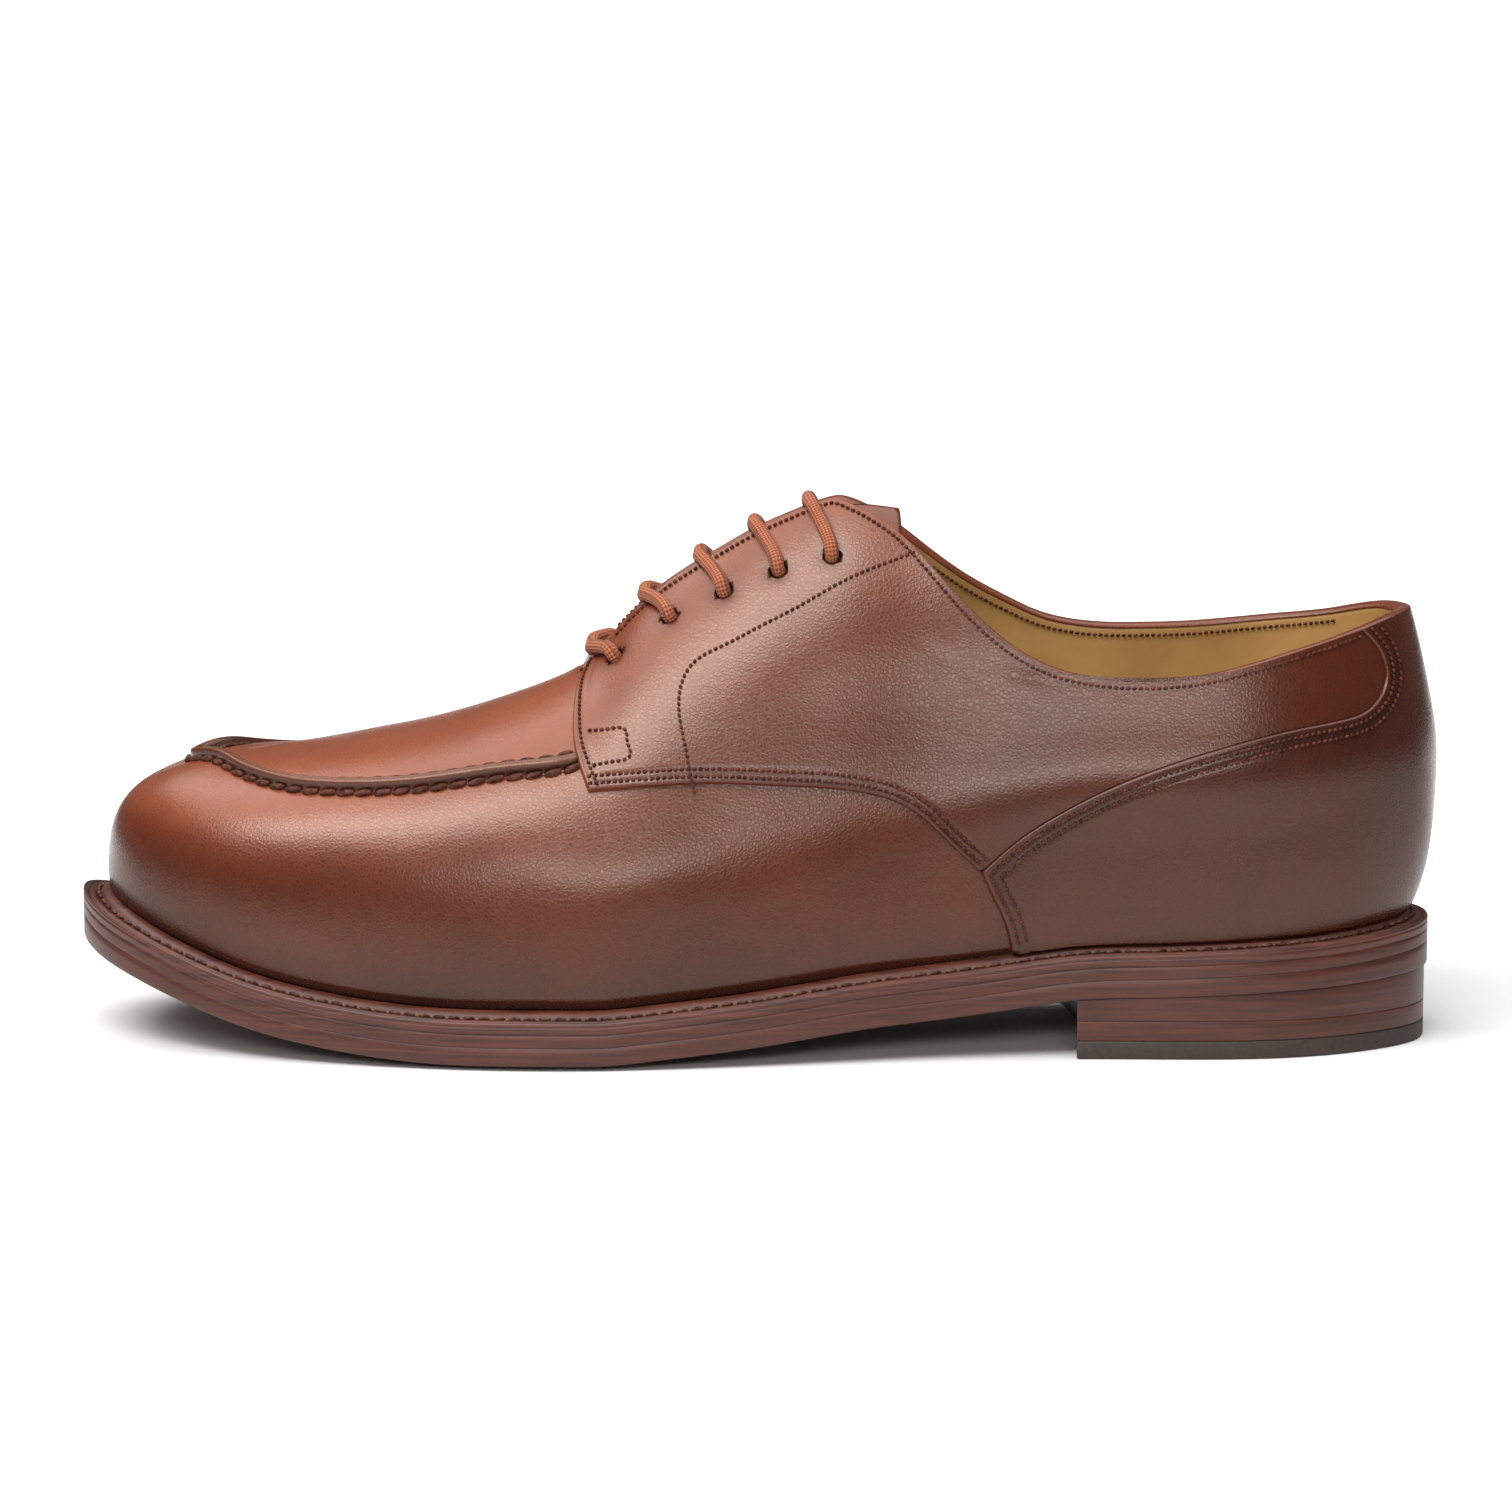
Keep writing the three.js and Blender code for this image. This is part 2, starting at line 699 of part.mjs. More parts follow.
function buildQuarter(side) {
  const stations = sideStations.filter((a) => a > angleOfFoot(alongToX(QUARTER_SHEET_START)));
  const angles = side < 0 ? stations.map((a) => -a).reverse() : stations;
  const sheet = toSolid(shell([skin(angles, CLEARANCE, CLEARANCE + QUARTER_THICKNESS)]));
  const counter = sidePrism(COUNTER_EDGE, COUNTER_CLOSING, CLEARANCE);
  const quarter = sheet.intersect(sidePrism(QUARTER_EDGE, QUARTER_CLOSING, 0)).subtract(counter);
  return toGeometry(quarter.subtract(eyeletHoles()));
}

// Heel counter: one piece round the back, over the ends of the quarters
const COUNTER_SHEET_START = 0.61;

function buildCounter() {
  const half = sideStations.filter((a) => a > angleOfFoot(alongToX(COUNTER_SHEET_START)));
  const sides = [half.map((a) => -a).reverse(), half];
  const sheets = sides.map((angles) => skin(angles, CLEARANCE, CLEARANCE + COUNTER_THICKNESS));
  return toGeometry(toSolid(shell(sheets)).intersect(sidePrism(COUNTER_EDGE, COUNTER_CLOSING, 0)));
}

// Eyelets, along a line behind each facing's edge
function eyeletPlace(index, side) {
  const angle = side * angleOfFoot(xFromToe(EYELET_ROW_FROM_TOE + index * EYELET_SPACING));
  return { angle, up: upAtReach(angle, THROAT_HALF_GAP + EYELET_SETBACK) };
}

const EYELET_SIDES = 12;

function eyeletHoles() {
  const depth = 3 * (UPPER_WALL + QUARTER_THICKNESS);
  const holes = [-1, 1].flatMap((side) => Array.from({ length: EYELET_COUNT }, (_, i) => {
    const { angle, up } = eyeletPlace(i, side);
    const start = lastPoint(angle, up, -depth);
    const end = lastPoint(angle, up, depth);
    const radius = EYELET_DIAMETER / 2;
    const hole = new THREE.CylinderGeometry(radius, radius, start.distanceTo(end), EYELET_SIDES);
    const turn = new THREE.Quaternion().setFromUnitVectors(
      new THREE.Vector3(0, 1, 0),
      end.clone().sub(start).normalize()
    );
    hole.applyQuaternion(turn);
    hole.translate(...start.add(end).multiplyScalar(0.5).toArray());
    return toSolid(merged(hole));
  }));
  return holes.reduce((all, hole) => all.add(hole));
}

// Apron seam: the raised lip between apron and side wall
function buildSeam() {
  const quarterFront = alongToX(Math.min(...QUARTER_EDGE.map((row) => row[0])));
  const end = angleOfFoot(quarterFront - SEAM_END_GAP);
  const ring = (angle) => {
    const up = seamUp(angle);
    const span = lastPoint(angle, up + 0.02).distanceTo(lastPoint(angle, up - 0.02));
    const perUp = 0.04 / span;
    const at = (beside, height) => lastPoint(angle, up + beside * SEAM_WIDTH * perUp, height);
    return [
      at(-0.5, CLEARANCE),
      at(-0.42, 0.45 * SEAM_HEIGHT),
      at(-0.1, SEAM_HEIGHT),
      at(0.3, 0.85 * SEAM_HEIGHT),
      at(0.5, CLEARANCE),
    ];
  };
  return sweep(bothSides([...frontStations.filter((a) => a < end - 0.03), end]).map(ring));
}

// Tongue: under the facings, with room above it for the lace
function tongueDepth(x) {
  const front = UPPER_WALL + CLEARANCE;
  const underLace = UPPER_WALL + 2 * LACE_ROOM + LACE_DIAMETER;
  const lowered = smooth(x, xFromToe(TONGUE_FROM_TOE) + TONGUE_SKIVE, xFromToe(THROAT_FROM_TOE));
  return lerp(front, underLace, lowered);
}

const TONGUE_FRONT_SHARE = 0.7;
const TONGUE_TOP_SHARE = 0.75;
const TONGUE_STEPS = 10;

function buildTongue() {
  const from = angleOfFoot(xFromToe(TONGUE_FROM_TOE));
  const to = angleOfFoot(xFromToe(TONGUE_TOP_FROM_TOE));
  const stations = [...steps(from, to, TONGUE_STEPS), to];
  const half = (side) => stations.map((turn, i) => {
    const angle = side * turn;
    const widening = lerp(TONGUE_FRONT_SHARE, 1, Math.min(1, 2 * i / TONGUE_STEPS));
    const rounding = i === TONGUE_STEPS ? TONGUE_TOP_SHARE : 1;
    const low = upAtReach(angle, (TONGUE_WIDTH / 2) * widening * rounding);
    return [0, 0.25, 0.5, 0.75, 1].map((share) => {
      const up = lerp(low, 1, share);
      const depth = tongueDepth(lastPoint(angle, up).x);
      return [lastPoint(angle, up, -depth), lastPoint(angle, up, -depth - TONGUE_THICKNESS)];
    });
  });
  return shell([half(-1).reverse(), half(1)]);
}

// Laces: one cord with straight bars, whose free end goes back up inside
function facingPoint(side, x, reach, offset) {
  const angle = side * angleOfFoot(x);
  return lastPoint(angle, upAtReach(angle, reach), offset);
}

function lacePath() {
  const inside = -UPPER_WALL - LACE_ROOM - LACE_DIAMETER / 2;
  const outside = CLEARANCE + QUARTER_THICKNESS + LACE_ROOM + LACE_DIAMETER / 2;
  const row = THROAT_HALF_GAP + EYELET_SETBACK;
  const bend = LACE_DIAMETER * 0.5;
  const path = [];
  for (let i = EYELET_COUNT - 1; i >= 0; i--) {
    const x = xFromToe(EYELET_ROW_FROM_TOE + i * EYELET_SPACING);
    const start = (EYELET_COUNT - i) % 2 === 1 ? -1 : 1;
    const rise = (side) => [
      facingPoint(side, x, row, inside + bend),
      facingPoint(side, x, row, outside - bend),
      facingPoint(side, x, row - 0.3 * bend, outside - 0.3 * bend),
      facingPoint(side, x - 0.2 * bend, row - bend, outside),
      facingPoint(side, x - 0.5 * LACE_SLANT, (row - bend + THROAT_HALF_GAP) / 2, outside),
      facingPoint(side, x - 0.9 * LACE_SLANT, THROAT_HALF_GAP, outside),
    ];
    const climb = rise(start);
    const fall = rise(-start).reverse();
    const middle = climb[5].clone().add(fall[0]).multiplyScalar(0.5);
    middle.z += CLEARANCE;
    const entry = facingPoint(start, x + bend, row, inside);
    const exit = facingPoint(-start, x - bend, row, inside);
    path.push(entry, ...climb, middle, ...fall, exit);
  }
  const lane = row + LACE_DIAMETER + CLEARANCE;
  const first = xFromToe(EYELET_ROW_FROM_TOE);
  path.push(facingPoint(1, first - 2 * bend, lane - bend, inside));
  for (let i = 0; i < EYELET_COUNT; i++) path.push(facingPoint(1, first + i * EYELET_SPACING, lane, inside));
  return path;
}

// A round cord through points, its rings turned as little as possible
function buildCord(path, diameter, sides) {
  const along = path.map((p, i) => {
    const before = path[Math.max(i - 1, 0)];
    const after = path[Math.min(i + 1, path.length - 1)];
    return after.clone().sub(before).normalize();
  });
  const across = new THREE.Vector3(0, 0, 1).cross(along[0]).normalize();
  const rings = path.map((p, i) => {
    across.addScaledVector(along[i], -across.dot(along[i])).normalize();
    const third = new THREE.Vector3().crossVectors(along[i], across);
    return Array.from({ length: sides }, (_, k) => {
      const turn = (k / sides) * 2 * Math.PI;
      return p.clone()
        .addScaledVector(across, Math.cos(turn) * diameter / 2)
        .addScaledVector(third, Math.sin(turn) * diameter / 2);
    });
  });
  return sweep(rings);
}

// The assembly
const calf = { color: 0x8a4a2c, roughness: 0.38, metalness: 0 };
const darkCalf = { color: 0x6d3820, roughness: 0.36, metalness: 0 };
const edgeLeather = { color: 0x4a2c20, roughness: 0.5, metalness: 0 };
const heelRubber = { color: 0x2f2926, roughness: 0.85, metalness: 0 };
const insoleLeather = { color: 0xb98a4e, roughness: 0.8, metalness: 0 };
const waxedCord = { color: 0x9c5a34, roughness: 0.7, metalness: 0 };

const shoe = new THREE.Group();

function addPiece(name, geometry, look) {
  geometry.computeVertexNormals();
  const mesh = new THREE.Mesh(geometry, new THREE.MeshStandardMaterial(look));
  mesh.name = name;
  shoe.add(mesh);
}

const plan = heelPlan();
const liftFloor = TOP_PIECE_THICKNESS + CLEARANCE;
const upperLiftFloor = liftFloor + LIFT_THICKNESS + CLEARANCE;
addPiece("top_piece", buildSlab(plan, () => 0, () => TOP_PIECE_THICKNESS), heelRubber);
addPiece("heel_lift_2", buildSlab(plan, () => liftFloor, () => liftFloor + LIFT_THICKNESS), edgeLeather);
const liftTop = (x) => underside(x, 0) - CLEARANCE;
addPiece("heel_lift_1", buildSlab(plan, () => upperLiftFloor, liftTop), edgeLeather);
addPiece("outsole", buildLayer(0, underside, outsoleTop), edgeLeather);
addPiece("midsole", buildLayer(0, (x, a) => outsoleTop(x, a) + CLEARANCE, midsoleTop), edgeLeather);
addPiece("welt", buildWelt(), edgeLeather);
const insoleFloor = (x, across) => midsoleTop(x, across) + CLEARANCE;
const insoleTop = (x, across) => insoleFloor(x, across) + INSOLE_THICKNESS;
addPiece("insole", buildLayer(WELT_BAND + CLEARANCE, insoleFloor, insoleTop), insoleLeather);
addPiece("upper", toGeometry(toSolid(buildUpper()).subtract(eyeletHoles())), calf);
addPiece("quarter_lateral", buildQuarter(-1), darkCalf);
addPiece("quarter_medial", buildQuarter(1), darkCalf);
addPiece("heel_counter", buildCounter(), darkCalf);
addPiece("apron_seam", buildSeam(), darkCalf);
addPiece("tongue", buildTongue(), calf);
addPiece("laces", buildCord(lacePath(), LACE_DIAMETER, 8), waxedCord);

// The origin lies on the ground under the middle of the whole shoe
const middle = new THREE.Box3().setFromObject(shoe).getCenter(new THREE.Vector3());
shoe.position.set(-middle.x, -middle.y, 0);

export default shoe;
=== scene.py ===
import math

import bmesh
import bpy
import numpy as np
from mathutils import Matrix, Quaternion, Vector


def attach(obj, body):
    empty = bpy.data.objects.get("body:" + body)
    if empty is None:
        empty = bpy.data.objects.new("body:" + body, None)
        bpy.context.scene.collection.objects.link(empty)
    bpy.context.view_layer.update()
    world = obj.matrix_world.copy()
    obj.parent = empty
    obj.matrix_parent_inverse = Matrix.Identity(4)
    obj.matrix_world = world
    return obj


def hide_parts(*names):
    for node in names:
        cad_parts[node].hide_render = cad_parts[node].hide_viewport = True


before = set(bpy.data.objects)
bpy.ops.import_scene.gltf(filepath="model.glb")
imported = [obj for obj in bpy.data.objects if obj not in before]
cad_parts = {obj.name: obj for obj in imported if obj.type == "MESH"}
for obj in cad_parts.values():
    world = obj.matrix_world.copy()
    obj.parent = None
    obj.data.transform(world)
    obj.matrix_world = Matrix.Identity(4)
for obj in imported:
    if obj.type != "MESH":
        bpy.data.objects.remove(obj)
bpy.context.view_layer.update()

# Camera: low beside the outer side of the shoe, a little above it, with the
# toe to the left. Sizes in this file are millimetres unless a name says metres.
MM = 0.001

bpy.ops.object.camera_add(
    location=(0.2 * MM, -1035.71 * MM, 206.74 * MM),
    rotation=(math.radians(82), 0, 0),
)
camera = bpy.context.object
camera.data.sensor_width = 36
camera.data.lens = 110.95
bpy.context.scene.camera = camera

# Floor and light: a small table of white paper in a dark room, a lit white cove
# behind it, and four soft boxes: one overhead, the key at the front left, a low
# one in front and a small one behind the toe. The polished calf mirrors them.
bpy.context.scene.view_settings.view_transform = "Standard"


def srgb(colour):
    """The linear colour of a six-digit sRGB hex value."""
    parts = [int(colour[i:i + 2], 16) / 255 for i in (0, 2, 4)]
    linear = [p / 12.92 if p <= 0.04045 else ((p + 0.055) / 1.055) ** 2.4 for p in parts]
    return (*linear, 1)


def new_material(name, **surface):
    """A material and its shader, with inputs set by name."""
    material = bpy.data.materials.new(name)
    material.use_nodes = True
    shader = material.node_tree.nodes["Principled BSDF"]
    for key, value in surface.items():
        shader.inputs[key.replace("_", " ")].default_value = value
    return material, shader


def add_node(material, kind, settings=None, links=None):
    """A node with its settings, or input values, and the sockets that feed it."""
    node = material.node_tree.nodes.new(kind)
    for name, value in (settings or {}).items():
        if isinstance(name, str) and hasattr(node, name):
            setattr(node, name, value)
        else:
            node.inputs[name].default_value = value
    for name, socket in (links or {}).items():
        material.node_tree.links.new(socket, node.inputs[name])
    return node


def join(material, source, target):
    material.node_tree.links.new(source, target)


# Matt paper, barely mottled, so that the shadow on it stays soft and clean.
paper, paper_shader = new_material("matt_paper", Roughness=0.9, Specular_IOR_Level=0.1)
paper_place = add_node(paper, "ShaderNodeTexCoord")
paper_fleck = add_node(
    paper, "ShaderNodeTexNoise", {"Scale": 6, "Detail": 2},
    {"Vector": paper_place.outputs["Object"]},
)
paper_tone = add_node(paper, "ShaderNodeMapRange", {"To Min": 0.79, "To Max": 0.81},
                      {"Value": paper_fleck.outputs["Fac"]})
join(paper, paper_tone.outputs["Result"], paper_shader.inputs["Base Color"])

TABLE_FRONT, TABLE_BACK, TABLE_HALF_WIDTH = -0.385, 0.60, 0.85
floor_mesh = bpy.data.meshes.new("floor")
floor_mesh.from_pydata(
    [(-TABLE_HALF_WIDTH, TABLE_FRONT, 0), (TABLE_HALF_WIDTH, TABLE_FRONT, 0),
     (TABLE_HALF_WIDTH, TABLE_BACK, 0), (-TABLE_HALF_WIDTH, TABLE_BACK, 0)], [], [(0, 1, 2, 3)],
)
floor_mesh.materials.append(paper)
floor = bpy.data.objects.new("floor", floor_mesh)
bpy.context.collection.objects.link(floor)

# The lit cove starts behind the shoe, a hair over the paper, and curves up.
COVE = [
    # metres behind the shoe, height, half width
    (0.24, 0.0004, 1.20),
    (5.60, 0.0004, 1.40),
    (5.85, 0.05, 1.40),
    (6.00, 0.16, 1.40),
    (6.03, 0.37, 1.40),
]
lit_cove, _ = new_material(
    "lit_white_cove", Base_Color=(0.8, 0.8, 0.8, 1), Emission_Color=(1, 1, 1, 1),
    Emission_Strength=0.95, Roughness=0.9,
)
cove_mesh = bpy.data.meshes.new("cove")
cove_mesh.from_pydata(
    [(side * half_width, back, up) for back, up, half_width in COVE for side in (-1, 1)], [],
    [(2 * i, 2 * i + 1, 2 * i + 3, 2 * i + 2) for i in range(len(COVE) - 1)],
)
cove_mesh.materials.append(lit_cove)
cove = bpy.data.objects.new("cove", cove_mesh)
bpy.context.collection.objects.link(cove)

SOFT_BOXES = [
    # name, place in metres, aim in metres, width, height, turn in degrees, watts
    ("box_over", (-0.05, 0.02, 1.25), (-0.05, 0, 0), 2.20, 1.20, 0, 22),
    ("box_key", (-0.42, -0.68, 1.00), (0, 0, 0.05), 1.05, 0.40, 12, 14.5),
    ("box_front", (-0.04, -1.02, 0.41), (0, 0, 0.05), 0.56, 0.20, 0, 3.2),
    ("box_left", (-0.70, 0.62, 0.98), (-0.1, 0, 0.08), 0.50, 0.50, 0, 1.4),
]
for name, place, aim, width, height, turn, watts in SOFT_BOXES:
    bpy.ops.object.light_add(type="AREA", location=place)
    lamp = bpy.context.object
    lamp.name = name
    lamp.data.shape = "RECTANGLE"
    lamp.data.size = width
    lamp.data.size_y = height
    lamp.data.energy = watts
    facing = (Vector(aim) - Vector(place)).to_track_quat("-Z", "Y")
    lamp.rotation_euler = (facing @ Quaternion((0, 0, 1), math.radians(turn))).to_euler()

world = bpy.data.worlds.new("studio")
world.use_nodes = True
world.node_tree.nodes["Background"].inputs["Color"].default_value = (1, 1, 1, 1)
world.node_tree.nodes["Background"].inputs["Strength"].default_value = 0.12
bpy.context.scene.world = world

# Sole, common form: the outline of the sole and the height of its underside
# along the foot. Outsole, midsole, welt and heel are all cut to this outline.
SHIFT = np.array([-0.5014, -5.8341, 0])
SOLE_LENGTH = 302
BALL_WIDTH = 106
TOE_RADIUS = 31
SEAT_RADIUS = 33
TOE_RISE = 21.2
HEEL_PITCH = 16.2
EDGE_RISE = 1
FLAT_SHARE = 0.45
OUTSOLE = 4
MIDSOLE = 2.8
WELT = 2.6
WELT_REACH = 6
WELT_SLOPE = 2
END_SWELL = 1.2
END_SLOPE = 1.4
WELT_BAND = 11
INSOLE = 5.5
GAP = 0.3
HALF_LENGTH = SOLE_LENGTH / 2
HEEL_HALF_WIDTH = 0.3 * BALL_WIDTH

OUTLINE = np.array([
    # along, centre, outer, inner
    [0.03, 0.085, 0.222, 0.222],
    [0.08, 0.082, 0.338, 0.345],
    [0.15, 0.076, 0.418, 0.434],
    [0.23, 0.066, 0.468, 0.486],
    [0.31, 0.055, 0.495, 0.498],
    [0.38, 0.045, 0.492, 0.476],
    [0.46, 0.034, 0.460, 0.425],
    [0.55, 0.022, 0.408, 0.355],
    [0.65, 0.012, 0.352, 0.308],
    [0.75, 0.004, 0.330, 0.314],
    [0.85, 0.000, 0.328, 0.325],
    [0.92, 0.000, 0.281, 0.279],
    [0.97, 0.000, 0.190, 0.190],
])
TOE_CENTRE = 0.086

UNDERSIDE = np.array([
    # along, spring, pitch, edge
    [-0.040, 1.250, 0.000, 0.0],
    [0.000, 1.000, 0.000, 0.0],
    [0.040, 0.758, 0.000, 0.3],
    [0.085, 0.515, 0.000, 0.8],
    [0.140, 0.265, 0.000, 1.0],
    [0.200, 0.105, 0.000, 1.0],
    [0.260, 0.018, 0.000, 1.0],
    [0.300, 0.000, 0.000, 1.0],
    [0.370, 0.000, 0.000, 1.0],
    [0.390, 0.000, 0.000, 1.0],
    [0.420, 0.000, 0.045, 1.0],
    [0.470, 0.000, 0.145, 0.9],
    [0.520, 0.000, 0.275, 0.6],
    [0.580, 0.000, 0.445, 0.4],
    [0.640, 0.000, 0.570, 0.2],
    [0.690, 0.000, 0.700, 0.0],
    [0.730, 0.000, 0.798, 0.0],
    [0.800, 0.000, 0.850, 0.0],
    [0.870, 0.000, 0.902, 0.0],
    [0.940, 0.000, 0.955, 0.0],
    [1.040, 0.000, 1.030, 0.0],
])


def along_to_x(along):
    return (along - 0.5) * SOLE_LENGTH


def from_toe(distance):
    return distance - HALF_LENGTH


def angle_of_x(x):
    return np.arccos(np.clip(-np.asarray(x) / HALF_LENGTH, -1, 1))


def soft_step(x, low, high):
    s = np.clip((np.asarray(x) - low) / (high - low), 0, 1)
    return s * s * (3 - 2 * s)


def curve_through(xs, ys):
    """A smooth curve through the rows of a table, level at both ends."""
    xs, ys = np.asarray(xs, float), np.asarray(ys, float)
    count = len(xs)
    matrix, pull = np.eye(count), np.zeros(count)
    for i in range(1, count - 1):
        before, after = 1 / (xs[i] - xs[i - 1]), 1 / (xs[i + 1] - xs[i])
        matrix[i, i - 1:i + 2] = before, 2 * (before + after), after
        pull[i] = 3 * ((ys[i] - ys[i - 1]) * before ** 2 + (ys[i + 1] - ys[i]) * after ** 2)
    slopes = np.linalg.solve(matrix, pull)

    def curve(x):
        x = np.clip(x, xs[0], xs[-1])
        i = np.clip(np.searchsorted(xs, x, side="right") - 1, 0, count - 2)
        step = xs[i + 1] - xs[i]
        s = (x - xs[i]) / step
        start = (1 + 2 * s) * (1 - s) ** 2 * ys[i] + s * (1 - s) ** 2 * step * slopes[i]
        return start + s ** 2 * (3 - 2 * s) * ys[i + 1] - s ** 2 * (1 - s) * step * slopes[i + 1]

    return curve


outline_angles = np.concatenate([[0], angle_of_x(along_to_x(OUTLINE[:, 0])), [math.pi]])


def width_curve(column):
    widths = OUTLINE[:, column] * BALL_WIDTH / np.sin(outline_angles[1:-1])
    toe, seat = math.sqrt(TOE_RADIUS * HALF_LENGTH), math.sqrt(SEAT_RADIUS * HALF_LENGTH)
    return curve_through(outline_angles, np.concatenate([[toe], widths, [seat]]))


outer_width = width_curve(2)
inner_width = width_curve(3)
centre_line = curve_through(
    outline_angles, np.concatenate([[TOE_CENTRE], OUTLINE[:, 1], [0]]) * BALL_WIDTH
)
spring_share, pitch_share, edge_share = [
    curve_through(along_to_x(UNDERSIDE[:, 0]), UNDERSIDE[:, column]) for column in (1, 2, 3)
]


def unit(vectors):
    return vectors / np.maximum(np.linalg.norm(vectors, axis=-1, keepdims=True), 1e-9)


def edge_point(angle):
    """The sole's outline: 0 at the toe, a half turn at the back, minus on the outer side."""
    turn = np.abs(angle)
    width = np.where(angle < 0, outer_width(turn), inner_width(turn))
    return np.stack([-HALF_LENGTH * np.cos(turn), centre_line(turn) + np.sin(angle) * width], -1)


def outline(angle, inset=0):
    angle = np.asarray(angle, float)
    along = unit(edge_point(angle + 0.002) - edge_point(angle - 0.002))
    inward = np.stack([along[..., 1], -along[..., 0]], -1)
    return edge_point(angle) + inward * np.asarray(inset)[..., None]


def underside(x, across):
    flat = np.maximum(0, spring_share(x) * TOE_RISE + pitch_share(x) * HEEL_PITCH)
    return flat + EDGE_RISE * edge_share(x) * soft_step(np.abs(across), FLAT_SHARE, 1)


def across_at(angle, inset):
    turn = np.abs(angle)
    width = np.sin(turn) * np.where(angle < 0, outer_width(turn), inner_width(turn))
    return 1 - inset / np.maximum(width, HEEL_HALF_WIDTH)


def end_share(x):
    return np.abs(x / HALF_LENGTH) ** 8


def outsole_top(x, across):
    return underside(x, across) + OUTSOLE + END_SWELL * end_share(x)


def midsole_top(x, across):
    return outsole_top(x, across) + MIDSOLE


def welt_top(x, across):
    return midsole_top(x, across) + WELT


def welt_slope(x):
    return WELT_SLOPE + END_SLOPE * end_share(x)


def make_mesh(name, points, faces, materials, uvs=None, tones=None, slots=None):
    """A smooth-shaded piece from points in millimetres, before the frame's shift.

    Faces that meet at the same place are joined, and all are turned outwards.
    """
    mesh = bpy.data.meshes.new(name)
    mesh.from_pydata(((np.asarray(points) + SHIFT) * MM).tolist(), [], faces)
    if uvs is not None:
        layer = mesh.uv_layers.new(name="fit")
        corners = np.empty(len(mesh.loops), dtype=np.int32)
        mesh.loops.foreach_get("vertex_index", corners)
        layer.data.foreach_set("uv", np.asarray(uvs)[corners].ravel())
    if tones is not None:
        mesh.attributes.new("tone", "FLOAT", "POINT").data.foreach_set("value", tones)
    for material in np.atleast_1d(materials):
        mesh.materials.append(material)
    if slots is not None:
        mesh.polygons.foreach_set("material_index", slots)
    piece = bpy.data.objects.new(name, mesh)
    bpy.context.collection.objects.link(piece)
    shape = bmesh.new()
    shape.from_mesh(mesh)
    bmesh.ops.remove_doubles(shape, verts=shape.verts, dist=0.004 * MM)
    bmesh.ops.dissolve_degenerate(shape, edges=shape.edges, dist=0.002 * MM)
    bmesh.ops.recalc_face_normals(shape, faces=shape.faces)
    if shape.calc_volume(signed=True) < 0:
        bmesh.ops.reverse_faces(shape, faces=shape.faces)
    shape.to_mesh(mesh)
    shape.free()
    mesh.shade_smooth()
    return piece


def grid_faces(rows, columns, close_rows=False, close_columns=False, first=0):
    """Faces of a grid of points that are listed row by row."""
    i, j = np.meshgrid(
        np.arange(rows if close_rows else rows - 1),
        np.arange(columns if close_columns else columns - 1), indexing="ij",
    )
    down, right = (i + 1) % rows, (j + 1) % columns
    corners = [i * columns + j, down * columns + j, down * columns + right, i * columns + right]
    return (np.stack([c.ravel() for c in corners], -1) + first).tolist()


def spans(*parts):
    """Values from part to part: (from, to, steps) each, with the last end."""
    values = [np.linspace(a, b, steps, endpoint=False) for a, b, steps in parts]
    return np.concatenate([*values, [parts[-1][1]]])


# Stations right round the shoe, closer together at the toe and the heel
half_turn = spans((0, 0.6, 60), (0.6, 2.5, 110), (2.5, math.pi, 64))
full_turn = np.concatenate([-half_turn[::-1][:-1], half_turn[:-1]])

# Heel: a rubber top piece and two leather lifts, cut to the sole's outline with
# a hollow breast, glued, nailed from inside, rasped flush and waxed dark.
BREAST_FROM_TOE = 221.5
TOP_PIECE = 4
LIFT = 4
HEEL_INSET = 0.6
BREAST_HOLLOW = 3

# Moulded rubber: matt and finely specked, the darkest line of the heel.
rubber, rubber_shader = new_material("moulded_heel_rubber", Roughness=0.62, IOR=1.52)
rubber_place = add_node(rubber, "ShaderNodeTexCoord")
rubber_speck = add_node(rubber, "ShaderNodeTexNoise", {"Scale": 900, "Detail": 3},
                        {"Vector": rubber_place.outputs["Object"]})
rubber_ramp = add_node(rubber, "ShaderNodeValToRGB", links={"Fac": rubber_speck.outputs["Fac"]})
rubber_ramp.color_ramp.elements[0].color = srgb("1e1511")
rubber_ramp.color_ramp.elements[1].color = srgb("43332b")
join(rubber, rubber_ramp.outputs["Color"], rubber_shader.inputs["Base Color"])
rubber_bump = add_node(rubber, "ShaderNodeBump", {"Strength": 0.25, "Distance": 0.2 * MM},
                       {"Height": rubber_speck.outputs["Fac"]})
join(rubber, rubber_bump.outputs["Normal"], rubber_shader.inputs["Normal"])


